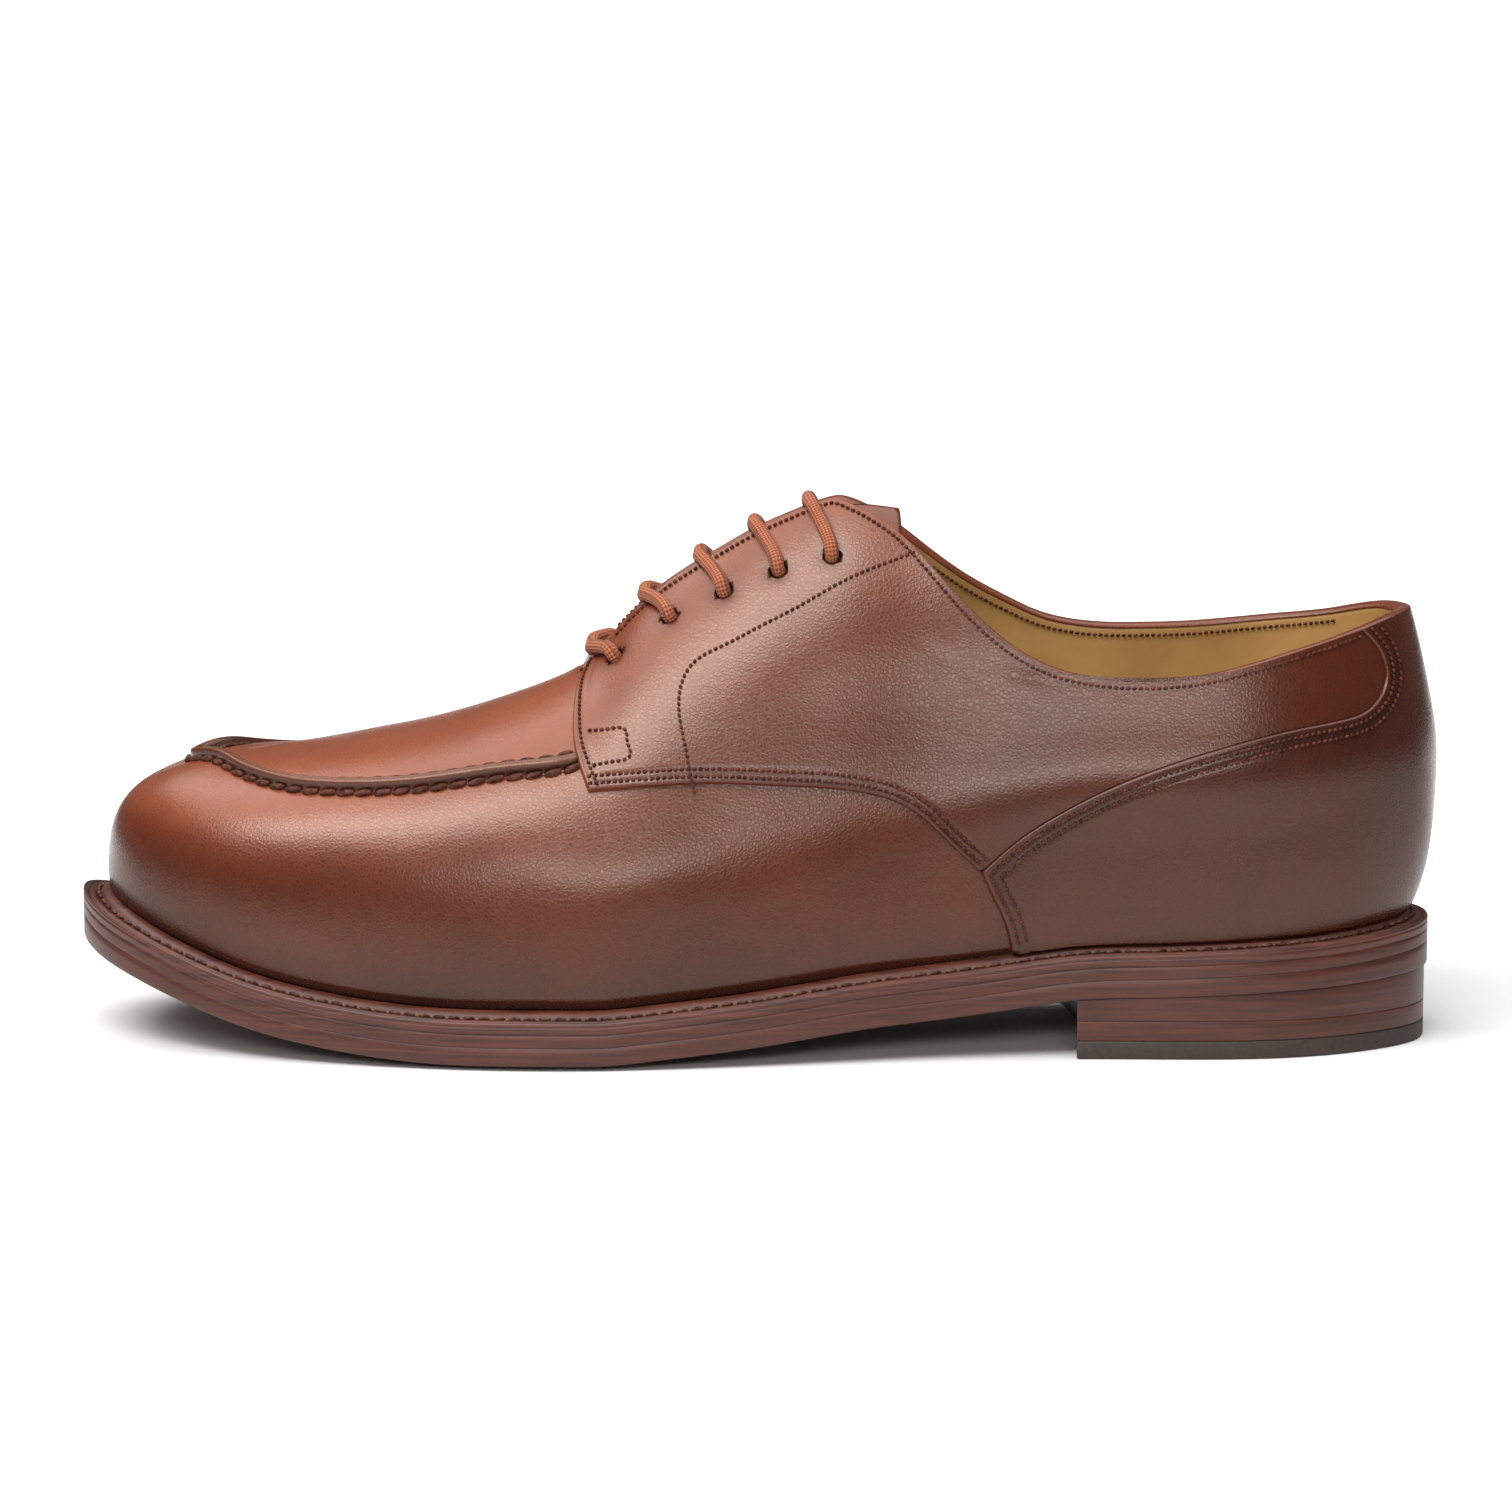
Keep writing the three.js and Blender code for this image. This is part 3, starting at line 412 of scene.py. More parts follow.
def edge_leather(name, dark, light):
    """Waxed sole edge: stacked fibres run along the edge as fine dark and light lines."""
    material, shader = new_material(name, IOR=1.45, Coat_Weight=0.15, Coat_Roughness=0.4)
    place = add_node(material, "ShaderNodeTexCoord")
    fibres = add_node(material, "ShaderNodeMapping", {"Scale": (50, 50, 1300)},
                      {"Vector": place.outputs["Object"]})
    lines = add_node(material, "ShaderNodeTexNoise", {"Scale": 1, "Detail": 5, "Roughness": 0.6},
                     {"Vector": fibres.outputs["Vector"]})
    ramp = add_node(material, "ShaderNodeValToRGB", links={"Fac": lines.outputs["Fac"]})
    ramp.color_ramp.elements[0].position = 0.3
    ramp.color_ramp.elements[1].position = 0.72
    ramp.color_ramp.elements[0].color = srgb(dark)
    ramp.color_ramp.elements[1].color = srgb(light)
    join(material, ramp.outputs["Color"], shader.inputs["Base Color"])
    shine = add_node(material, "ShaderNodeMapRange", {"To Min": 0.34, "To Max": 0.55},
                     {"Value": lines.outputs["Fac"]})
    join(material, shine.outputs["Result"], shader.inputs["Roughness"])
    bump = add_node(material, "ShaderNodeBump", {"Strength": 0.35, "Distance": 0.2 * MM},
                    {"Height": lines.outputs["Fac"]})
    join(material, bump.outputs["Normal"], shader.inputs["Normal"])
    return material


waxed_edge = edge_leather("waxed_sole_edge", "32140b", "5a2a1a")


def heel_plan():
    """Corners of the heel from above, from the outer breast corner round the back."""
    breast_x = from_toe(BREAST_FROM_TOE)
    stations = np.linspace(float(angle_of_x(breast_x)), math.pi, 90)
    outer = outline(-stations, HEEL_INSET)
    inner = outline(stations[:-1], HEEL_INSET)[::-1]
    across = np.linspace(0.92, -0.92, 24)
    share = (across + 1) / 2
    breast = np.column_stack([
        breast_x + BREAST_HOLLOW * (1 - across ** 2),
        outer[0, 1] * (1 - share) + inner[-1, 1] * share,
    ])
    return np.concatenate([outer, inner, breast])


def heel_slab(name, low, high, bevel, material):
    """A lift: the plan is drawn once, extruded to its height and its edges eased."""
    plan = heel_plan()
    count = len(plan)
    floor_z = np.broadcast_to(low(plan[:, 0]), count)
    top_z = np.broadcast_to(high(plan[:, 0]), count)
    points = np.concatenate([np.column_stack([plan, floor_z]), np.column_stack([plan, top_z])])
    faces = [[i, (i + 1) % count, count + (i + 1) % count, count + i] for i in range(count)]
    faces += [list(range(count))[::-1], list(range(count, 2 * count))]
    piece = make_mesh(name, points, faces, material)
    bpy.ops.object.select_all(action="DESELECT")
    piece.select_set(True)
    bpy.context.view_layer.objects.active = piece
    ease = piece.modifiers.new("eased_edges", "BEVEL")
    ease.width = bevel * MM
    ease.segments = 3
    ease.angle_limit = math.radians(60)
    bpy.ops.object.modifier_apply(modifier="eased_edges")
    bpy.ops.object.shade_smooth_by_angle(angle=math.radians(35))
    return piece


LIFT_BEVEL, TOP_PIECE_BEVEL = 0.22, 0.5
lower_lift_base = TOP_PIECE + GAP / 2
upper_lift_base = lower_lift_base + LIFT + GAP
heel_parts = [
    heel_slab("rubber_top_piece", lambda x: 0 * x, lambda x: 0 * x + lower_lift_base,
              TOP_PIECE_BEVEL, rubber),
    heel_slab("leather_lift_lower", lambda x: 0 * x + lower_lift_base,
              lambda x: 0 * x + upper_lift_base, LIFT_BEVEL, waxed_edge),
    heel_slab("leather_lift_upper", lambda x: 0 * x + upper_lift_base,
              lambda x: underside(x, 0), LIFT_BEVEL, waxed_edge),
]
for piece, node, slot in zip(
    heel_parts,
    ("top_piece", "heel_lift_2", "heel_lift_1"),
    ("heel_rubber", "sole_leather", "sole_leather"),
):
    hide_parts(node)
    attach(piece, "root")

# Outsole and midsole: two layers of oak-bark leather, stitched to the welt,
# trimmed together, burnished with wax so that only a fine line parts them.
# Each joint lies in the gap between two solids, this far above the lower one.
LAYER_LAP = 0.12
# The top and the underside of a layer are closed from this far inside its edge.
CAP_INSET = 14


def sole_layer(low, high, floor_round):
    """Rings of a layer right across the sole, from its top over the edge to its underside."""
    rows = [
        # inset, share of the height, lift
        (CAP_INSET, 1, 0), (5, 1, 0), (0.9, 1, 0), (0.12, 1, -0.02), (0, 1, -0.16), (0, 0.6, 0),
        (0, 0.3, 0), (0, 0, floor_round), (0.3 * floor_round, 0, 0.3 * floor_round),
        (floor_round, 0, 0), (5, 0, 0), (CAP_INSET, 0, 0),
    ]
    rings = []
    for inset, share, lift in rows:
        place = outline(full_turn, inset)
        across = across_at(full_turn, inset)
        bottom, top = low(place[:, 0], across), high(place[:, 0], across)
        rings.append(np.column_stack([place, bottom + (top - bottom) * share + lift]))
    return rings


def rungs(outer, inner, columns, inset):
    """Rows from the outer edge to the inner one: places, and each point's share across."""
    share = ((columns + 1) / 2)[:, None]
    place = outer[:, None, :2] * (1 - share) + inner[:, None, :2] * share
    side_share = np.where(columns < 0, across_at(-half_turn[:, None], inset),
                          across_at(half_turn[:, None], inset))
    return place[..., 0], place[..., 1], columns * side_share


def layer_mesh(name, low, high, floor_round, material):
    """A closed layer: its rings, and rows from side to side above and under."""
    rings = sole_layer(low, high, floor_round)
    stations = len(full_turn)
    points, faces = [np.concatenate(rings)], []
    for k in range(len(rings) - 1):
        for i in range(stations):
            j = (i + 1) % stations
            faces.append([k * stations + i, (k + 1) * stations + i, (k + 1) * stations + j,
                          k * stations + j])
    first = len(rings) * stations
    columns = np.linspace(-1, 1, 15)
    for ring, height, up in ((rings[0], high, True), (rings[-1], low, False)):
        middle = stations // 2
        outer, inner = ring[:middle + 1][::-1], np.concatenate([ring[middle:], ring[:1]])
        x, y, share = rungs(outer, inner, columns, CAP_INSET)
        z = height(x, share)
        z[:, 0], z[:, -1] = outer[:, 2], inner[:, 2]
        z[0], z[-1] = outer[0, 2], outer[-1, 2]
        cap = np.stack([x, y, z], -1).reshape(-1, 3)
        points.append(cap)
        cap_faces = grid_faces(len(outer), len(columns), first=first)
        faces += cap_faces if up else [face[::-1] for face in cap_faces]
        first += len(cap)
    return make_mesh(name, np.concatenate(points), faces, material)


outsole = layer_mesh("leather_outsole", underside,
                     lambda x, a: outsole_top(x, a) + LAYER_LAP, 0.5, waxed_edge)
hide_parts("outsole")
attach(outsole, "root")

midsole = layer_mesh("leather_midsole", lambda x, a: outsole_top(x, a) + LAYER_LAP,
                     lambda x, a: midsole_top(x, a) + LAYER_LAP, 0.1, waxed_edge)
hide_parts("midsole")
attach(midsole, "root")

# Welt: a strip of waxed leather sewn round the upper and turned out over the
# midsole. Its top slopes up to the upper, with a bead at the outer corner and
# the outsole's lockstitch in a channel.
WELT_PROFILE = [
    # inset, share of the rise to the upper, lift
    (8.5, 1.00, 0.0),
    (6.4, 1.00, 0.0),
    (5.9, 0.98, 0.0),
    (4.9, 0.74, 0.0),
    (4.2, 0.52, 0.0),
    (3.8, 0.40, -0.35),
    (3.4, 0.34, -0.55),
    (2.9, 0.28, -0.45),
    (2.4, 0.22, -0.05),
    (1.9, 0.14, 0.05),
    (1.5, 0.06, -0.05),
    (1.25, 0.00, -0.45),
    (1.05, 0.00, -0.20),
    (0.8, 0.00, 0.12),
    (0.45, 0.00, 0.20),
    (0.12, 0.00, 0.05),
    (0.0, 0.00, -0.30),
    (0.03, 0.00, -0.66),
    (0.20, 0.00, -0.80),
    (0.03, 0.00, -0.94),
    (0.0, 0.00, -1.30),
]
welt_leather = edge_leather("waxed_welt", "30120a", "63301f")
welt_stations = spans((0, 0.6, 80), (0.6, 2.5, 150), (2.5, math.pi, 80))
welt_turn = np.concatenate([-welt_stations[::-1][:-1], welt_stations[:-1]])
welt_rings = []
for inset, rise, lift in WELT_PROFILE:
    place = outline(welt_turn, inset)
    top = welt_top(place[:, 0], across_at(welt_turn, inset))
    welt_rings.append(np.column_stack([place, top + rise * welt_slope(place[:, 0]) + lift]))
for inset in (0.0, WELT_PROFILE[0][0]):
    place = outline(welt_turn, inset)
    base = midsole_top(place[:, 0], across_at(welt_turn, inset)) + LAYER_LAP
    welt_rings.append(np.column_stack([place, base]))
welt_points = np.concatenate(welt_rings)
welt_faces = grid_faces(len(welt_rings), len(welt_turn), close_rows=True, close_columns=True)
welt = make_mesh("waxed_welt", welt_points, [f[::-1] for f in welt_faces], welt_leather)
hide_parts("welt")
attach(welt, "root")


def even_points(points, step):
    """Points a step apart along a line, and the line's directions there."""
    lengths = np.linalg.norm(np.diff(points, axis=0), axis=1)
    travelled = np.concatenate([[0], np.cumsum(lengths)])
    places = np.arange(step / 2, travelled[-1], step)
    even = np.column_stack([np.interp(places, travelled, points[:, k]) for k in range(3)])
    ahead = np.column_stack([np.interp(places + 0.2, travelled, points[:, k]) for k in range(3)])
    behind = np.column_stack([np.interp(places - 0.2, travelled, points[:, k]) for k in range(3)])
    return even, unit(ahead - behind), places, travelled


def one_stitch():
    """The shape of one stitch, a unit long: a small ball that is copied along each row."""
    bpy.ops.mesh.primitive_uv_sphere_add(segments=8, ring_count=5, radius=0.5)
    ball = bpy.context.object
    points = np.array([v.co[:] for v in ball.data.vertices])
    faces = [list(p.vertices) for p in ball.data.polygons]
    bpy.data.objects.remove(ball)
    return points[:, [2, 0, 1]], faces


stitch_points, stitch_faces = one_stitch()


def stitch_row(line, normals, pitch, length, thread, sink=0.15, slant=0.0):
    """Points and faces of the stitches along a line on a surface."""
    places, along, travel, travelled = even_points(line, pitch)
    up = unit(np.column_stack([np.interp(travel, travelled, normals[:, k]) for k in range(3)]))
    side = unit(np.cross(up, along))
    forward = unit(along + slant * side)
    side = unit(np.cross(up, forward))
    high = np.cross(forward, side)
    shape = stitch_points * np.array([length, thread, thread])
    points = (
        places[:, None] + (thread / 2 - sink) * high[:, None]
        + shape[:, 0, None] * forward[:, None] + shape[:, 1, None] * side[:, None]
        + shape[:, 2, None] * high[:, None]
    )
    count = len(stitch_points)
    faces = [[v + i * count for v in face] for i in range(len(places)) for face in stitch_faces]
    return points.reshape(-1, 3), faces


def sew(name, rows, material):
    """One piece of many stitches, joined from rows."""
    points, faces, first = [], [], 0
    for row_points, row_faces in rows:
        points.append(row_points)
        faces += [[v + first for v in face] for face in row_faces]
        first += len(row_points)
    piece = make_mesh(name, np.concatenate(points), faces, material)
    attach(piece, "root")
    return piece


def thread_material(name, dark, light):
    """Waxed linen thread: two plies, matt, darker in the hollows of its bump."""
    material, shader = new_material(name, Roughness=0.75, Specular_IOR_Level=0.25)
    place = add_node(material, "ShaderNodeTexCoord")
    plies = add_node(material, "ShaderNodeTexNoise", {"Scale": 700, "Detail": 2},
                     {"Vector": place.outputs["Object"]})
    ramp = add_node(material, "ShaderNodeValToRGB", links={"Fac": plies.outputs["Fac"]})
    ramp.color_ramp.elements[0].position = 0.35
    ramp.color_ramp.elements[1].position = 0.65
    ramp.color_ramp.elements[0].color = srgb(dark)
    ramp.color_ramp.elements[1].color = srgb(light)
    join(material, ramp.outputs["Color"], shader.inputs["Base Color"])
    bump = add_node(material, "ShaderNodeBump", {"Strength": 0.3, "Distance": 0.1 * MM},
                    {"Height": plies.outputs["Fac"]})
    join(material, bump.outputs["Normal"], shader.inputs["Normal"])
    return material


welt_thread = thread_material("waxed_welt_thread", "2a1710", "6e4a35")
WELT_STITCH_INSET = 3.4
place = outline(welt_turn, WELT_STITCH_INSET)
height = welt_top(place[:, 0], across_at(welt_turn, WELT_STITCH_INSET))
welt_line = np.column_stack([place, height + 0.34 * welt_slope(place[:, 0]) - 0.45])
welt_line = np.concatenate([welt_line, welt_line[:1]])
welt_normals = np.tile([0.0, 0.0, 1.0], (len(welt_line), 1))
sew("welt_stitches", [stitch_row(welt_line, welt_normals, 3.3, 2.7, 0.85, 0.1)],
    welt_thread)

# The last: every point of the upper lies on curves from the feather line over
# the wall to the ridge. `up` is 0 at the feather line and 1 on the ridge.
INSTEP_RISE = 108
TOE_FAN = 35.5
TOE_FAN_SPREAD = 40
BACK_FAN = 30
BACK_FAN_SPREAD = 35
BACK_RISE = 67
FRONT_RISE_SHARE = 0.62
MEDIAL_TOPLINE_RISE = 7
THROAT_HALF_GAP = 7.5
THROAT_FROM_TOE = 112
FACING_TOP_FROM_TOE = 175
EYELET_SPACING = 11.8
SOLE_STACK = OUTSOLE + MIDSOLE + WELT

RIDGE = np.array([
    # along, rise
    [0.090, 0.380],
    [0.140, 0.430],
    [0.175, 0.460],
    [0.210, 0.492],
    [0.255, 0.530],
    [0.285, 0.556],
    [0.325, 0.594],
    [0.353, 0.624],
    [0.370, 0.648],
    [0.390, 0.690],
    [0.417, 0.768],
    [0.447, 0.838],
    [0.477, 0.888],
    [0.505, 0.929],
    [0.535, 0.960],
    [0.563, 0.980],
    [0.613, 0.958],
    [0.700, 0.950],
    [0.800, 0.970],
    [0.880, 0.985],
])

SECTIONS = np.array([
    # along, outer lean, inner lean, wall, crown
    [0.025, 0.024, 0.024, 0.79, 0.68],
    [0.060, 0.030, 0.030, 0.76, 0.70],
    [0.110, 0.040, 0.038, 0.72, 0.74],
    [0.200, 0.047, 0.040, 0.67, 0.79],
    [0.300, 0.040, 0.030, 0.66, 0.72],
    [0.370, 0.038, 0.030, 0.62, 0.62],
    [0.447, 0.036, 0.045, 0.52, 0.42],
    [0.505, 0.034, 0.060, 0.48, 0.38],
    [0.565, 0.034, 0.075, 0.44, 0.40],
    [0.665, 0.045, 0.080, 0.36, 0.60],
    [0.750, 0.055, 0.070, 0.30, 0.75],
    [0.830, 0.060, 0.065, 0.27, 0.82],
    [0.910, 0.090, 0.090, 0.26, 0.86],
    [0.980, 0.130, 0.130, 0.26, 0.87],
])

TOPLINE = np.array([
    # along, height
    [0.545, 1.545],
    [0.570, 1.498],
    [0.580, 1.472],
    [0.592, 1.436],
    [0.607, 1.383],
    [0.635, 1.243],
    [0.664, 1.088],
    [0.692, 0.971],
    [0.721, 0.894],
    [0.749, 0.859],
    [0.785, 0.847],
    [0.836, 0.868],
    [0.893, 0.928],
    [0.943, 0.985],
    [0.974, 1.013],
])

SEAM = np.array([
    # along, outer, inner
    [0.000, 0.762, 0.762],
    [0.012, 0.763, 0.763],
    [0.032, 0.744, 0.744],
    [0.074, 0.695, 0.695],
    [0.141, 0.635, 0.635],
    [0.197, 0.605, 0.610],
    [0.256, 0.585, 0.600],
    [0.331, 0.555, 0.585],
    [0.371, 0.535, 0.570],
])

# Hollows and shoulders that the foot and the last leave in the leather, and fine
# pulls below the top line.
SOFT_FORMS = [
    # along, height, half length, half height, slope, swell
    (0.585, 0.86, 0.120, 0.150, 0.0, -0.7),
    (0.790, 0.54, 0.180, 0.150, 0.2, 2.3),
    (0.830, 0.95, 0.120, 0.120, 0.3, -0.5),
    (0.455, 0.42, 0.110, 0.150, 0.0, 0.9),
    (0.250, 0.42, 0.030, 0.110, 0.4, 0.22),
    (0.330, 0.36, 0.022, 0.120, -0.5, -0.20),
    (0.420, 0.40, 0.035, 0.120, 0.5, 0.25),
    (0.500, 0.44, 0.030, 0.090, -0.6, -0.22),
    (0.648, 0.95, 0.030, 0.030, -3.2, -0.07),
    (0.668, 0.94, 0.030, 0.026, -2.6, 0.05),
    (0.690, 0.90, 0.034, 0.022, -2.0, -0.08),
    (0.715, 0.87, 0.040, 0.018, -1.0, -0.07),
    (0.745, 0.89, 0.045, 0.018, 0.1, -0.07),
]

toe_x, back_x = -HALF_LENGTH + WELT_REACH, HALF_LENGTH - WELT_REACH
ridge_share = curve_through(along_to_x(RIDGE[:, 0]), RIDGE[:, 1])
section_angles = angle_of_x(along_to_x(SECTIONS[:, 0]))
outer_lean, inner_lean, wall_share, crown_share = [
    curve_through(section_angles, SECTIONS[:, column]) for column in (1, 2, 3, 4)
]
topline_share = curve_through(along_to_x(TOPLINE[:, 0]), TOPLINE[:, 1])
seam_angles = angle_of_x(along_to_x(SEAM[:, 0]))
outer_seam, inner_seam = [curve_through(seam_angles, SEAM[:, column]) for column in (1, 2)]


def welt_level(x):
    return underside(x, 0) + SOLE_STACK + WELT_SLOPE


def ridge_height(x):
    return welt_level(x) + ridge_share(x) * INSTEP_RISE


def ridge_point(angle):
    x = outline(np.abs(angle), WELT_REACH)[..., 0]
    ahead = TOE_FAN * np.exp(-(((x - toe_x) / TOE_FAN_SPREAD) ** 2))
    behind = BACK_FAN * np.exp(-(((x - back_x) / BACK_FAN_SPREAD) ** 2))
    ridge_x = x + ahead - behind
    return np.stack([ridge_x, centre_line(angle_of_x(ridge_x)), ridge_height(ridge_x)], -1)


def wall_curve(angle):
    """The four points of the curve from the feather line, over the wall, to the ridge."""
    turn = np.abs(angle)
    foot = outline(angle, WELT_REACH)
    foot_x = foot[..., 0]
    height = welt_top(foot_x, across_at(angle, WELT_REACH)) + welt_slope(foot_x) + GAP
    feather = np.stack([foot_x, foot[..., 1], height], -1)
    ridge = ridge_point(angle)
    outward = feather - ridge
    outward[..., 2] = 0
    reach = np.linalg.norm(outward, axis=-1)
    outward = unit(outward)
    lean = np.where(angle < 0, outer_lean(turn), inner_lean(turn)) * BALL_WIDTH
    wall = feather + outward * lean[..., None]
    share = wall_share(turn)
    wall[..., 2] = feather[..., 2] * (1 - share) + ridge[..., 2] * share
    crown = ridge + outward * (reach * crown_share(turn))[..., None]
    slope = (ridge_height(ridge[..., 0] + 1) - ridge_height(ridge[..., 0] - 1)) / 2
    crown[..., 2] += slope * (crown[..., 0] - ridge[..., 0])
    return [part[:, None] for part in (feather, wall, crown, ridge)]


def on_curve(curve, up):
    feather, wall, crown, ridge = curve
    s = up[..., None]
    return ((1 - s) ** 3 * feather + 3 * s * (1 - s) ** 2 * wall
            + 3 * s ** 2 * (1 - s) * crown + s ** 3 * ridge)


def side_normals(angles, ups):
    step = 0.004
    near = np.clip(ups, step, 1 - 2 * step)
    here = wall_curve(angles)
    ahead, behind = wall_curve(angles + step), wall_curve(angles - step)
    rise = on_curve(here, near + step) - on_curve(here, near - step)
    turn = on_curve(ahead, near) - on_curve(behind, near)
    return unit(np.cross(rise, turn))


def swell(points):
    """How far the soft forms push the leather out, in millimetres."""
    along = (points[..., 0] + HALF_LENGTH) / SOLE_LENGTH
    height = (points[..., 2] - welt_level(points[..., 0])) / BACK_RISE
    pushed = np.zeros(along.shape)
    for middle, level, half_length, half_height, slope, push in SOFT_FORMS:
        over = (along - middle) / half_length
        across = (height - level - slope * (along - middle)) / half_height
        pushed = pushed + push * np.exp(-(over ** 2) - across ** 2)
    return pushed


def last_frame(angles, ups):
    """Points and outward normals: a row for each angle, a column for each height."""
    points = on_curve(wall_curve(angles), ups)
    normals = side_normals(angles, ups)
    points = points + normals * swell(points)[..., None]
    on_ridge = ups > 0.999
    if on_ridge.any():
        other = side_normals(-angles, ups)
        normals = np.where(on_ridge[..., None], unit(normals + other), normals)
    return points, normals


def line_frame(angles, ups):
    """Points and normals along a line on the last: one height for each angle."""
    points, normals = last_frame(angles, ups[:, None])
    return points[:, 0], normals[:, 0]


def skin(angles, ups, offset):
    points, normals = last_frame(angles, ups)
    return points + normals * np.broadcast_to(offset, ups.shape)[..., None]


def share_where(angles, measure):
    """The height on each wall curve where a falling measure reaches zero."""
    curve = wall_curve(angles)
    low, high = np.zeros(len(angles)), np.ones(len(angles))
    for _ in range(30):
        middle = (low + high) / 2
        below = measure(on_curve(curve, middle[:, None])[:, 0]) > 0
        low, high = np.where(below, middle, low), np.where(below, high, middle)
    return (low + high) / 2


def up_at_reach(angles, distance):
    ridge = ridge_point(angles)
    return share_where(
        angles, lambda p: np.hypot(p[:, 0] - ridge[:, 0], p[:, 1] - ridge[:, 1]) - distance
    )


def topline_height(x, angles):
    behind = soft_step(x, along_to_x(0.6), along_to_x(0.7))
    back = soft_step(x, along_to_x(0.78), along_to_x(0.97))
    inner = np.where(angles < 0, 0, MEDIAL_TOPLINE_RISE)
    rise = FRONT_RISE_SHARE * INSTEP_RISE * (1 - behind) + BACK_RISE * behind
    return welt_level(x) + topline_share(x) * rise + inner * behind * (1 - back)


def rim_up(angles):
    """Height of the upper's edge: the facing's edge, then the top line."""
    facing = up_at_reach(angles, THROAT_HALF_GAP)
    topline = share_where(angles, lambda p: topline_height(p[:, 0], angles) - p[:, 2])
    in_front = ridge_point(angles)[:, 0] < from_toe(FACING_TOP_FROM_TOE) - EYELET_SPACING
    topline = np.where(in_front, 2.0, topline)
    blend = 0.010
    lower = np.minimum(facing, topline)
    return lower - blend * np.log1p(np.exp(-np.abs(facing - topline) / blend))


def seam_up(angles):
    turn = np.abs(angles)
    return np.where(angles < 0, outer_seam(turn), inner_seam(turn))


def angle_of_foot(x):
    low, high = 0.0, math.pi
    for _ in range(40):
        middle = (low + high) / 2
        if outline(middle, WELT_REACH)[0] < x:
            low = middle
        else:
            high = middle
    return low


throat_angle = angle_of_foot(from_toe(THROAT_FROM_TOE))

# Upper: calf lasted over the foot's shape, lined with thin ochre leather. Vamp
# and apron are in front; the quarters and the counter are sewn on over it.
UPPER_WALL = 1.6


def shell(name, patches, materials, tone=None):
    """A closed sheet: patches of outer and inner points, with walls round free edges."""
    known, outer, inner, sheet, tones = {}, [], [], [], []
    for patch_index, (over, under) in enumerate(patches):
        rows, columns = over.shape[:2]
        ids = np.empty((rows, columns), int)
        keys = np.round(over / 0.01).astype(int)
        for i in range(rows):
            for j in range(columns):
                key = tuple(keys[i, j])
                if key not in known:
                    known[key] = len(outer)
                    outer.append(over[i, j])
                    inner.append(under[i, j])
                    if tone is not None:
                        tones.append(tone[patch_index][i, j])
                ids[i, j] = known[key]
        a, b = ids[:-1, :-1].ravel(), ids[1:, :-1].ravel()
        c, d = ids[1:, 1:].ravel(), ids[:-1, 1:].ravel()
        for face in zip(a.tolist(), b.tolist(), c.tolist(), d.tolist()):
            corners = [v for k, v in enumerate(face) if v != face[k - 1]]
            if len(set(corners)) > 2:
                sheet.append(corners)
    shift = len(outer)
    edges = {(face[k - 1], face[k]) for face in sheet for k in range(len(face))}
    walls = [[b, a, a + shift, b + shift] for a, b in edges if (b, a) not in edges]
    back = [[v + shift for v in face[::-1]] for face in sheet]
    lined = [0] * len(sheet) + [len(materials) - 1] * len(back) + [0] * len(walls)
    return make_mesh(name, np.array(outer + inner), sheet + back + walls, materials,
                     tones=np.array(tones * 2) if tone is not None else None, slots=lined)


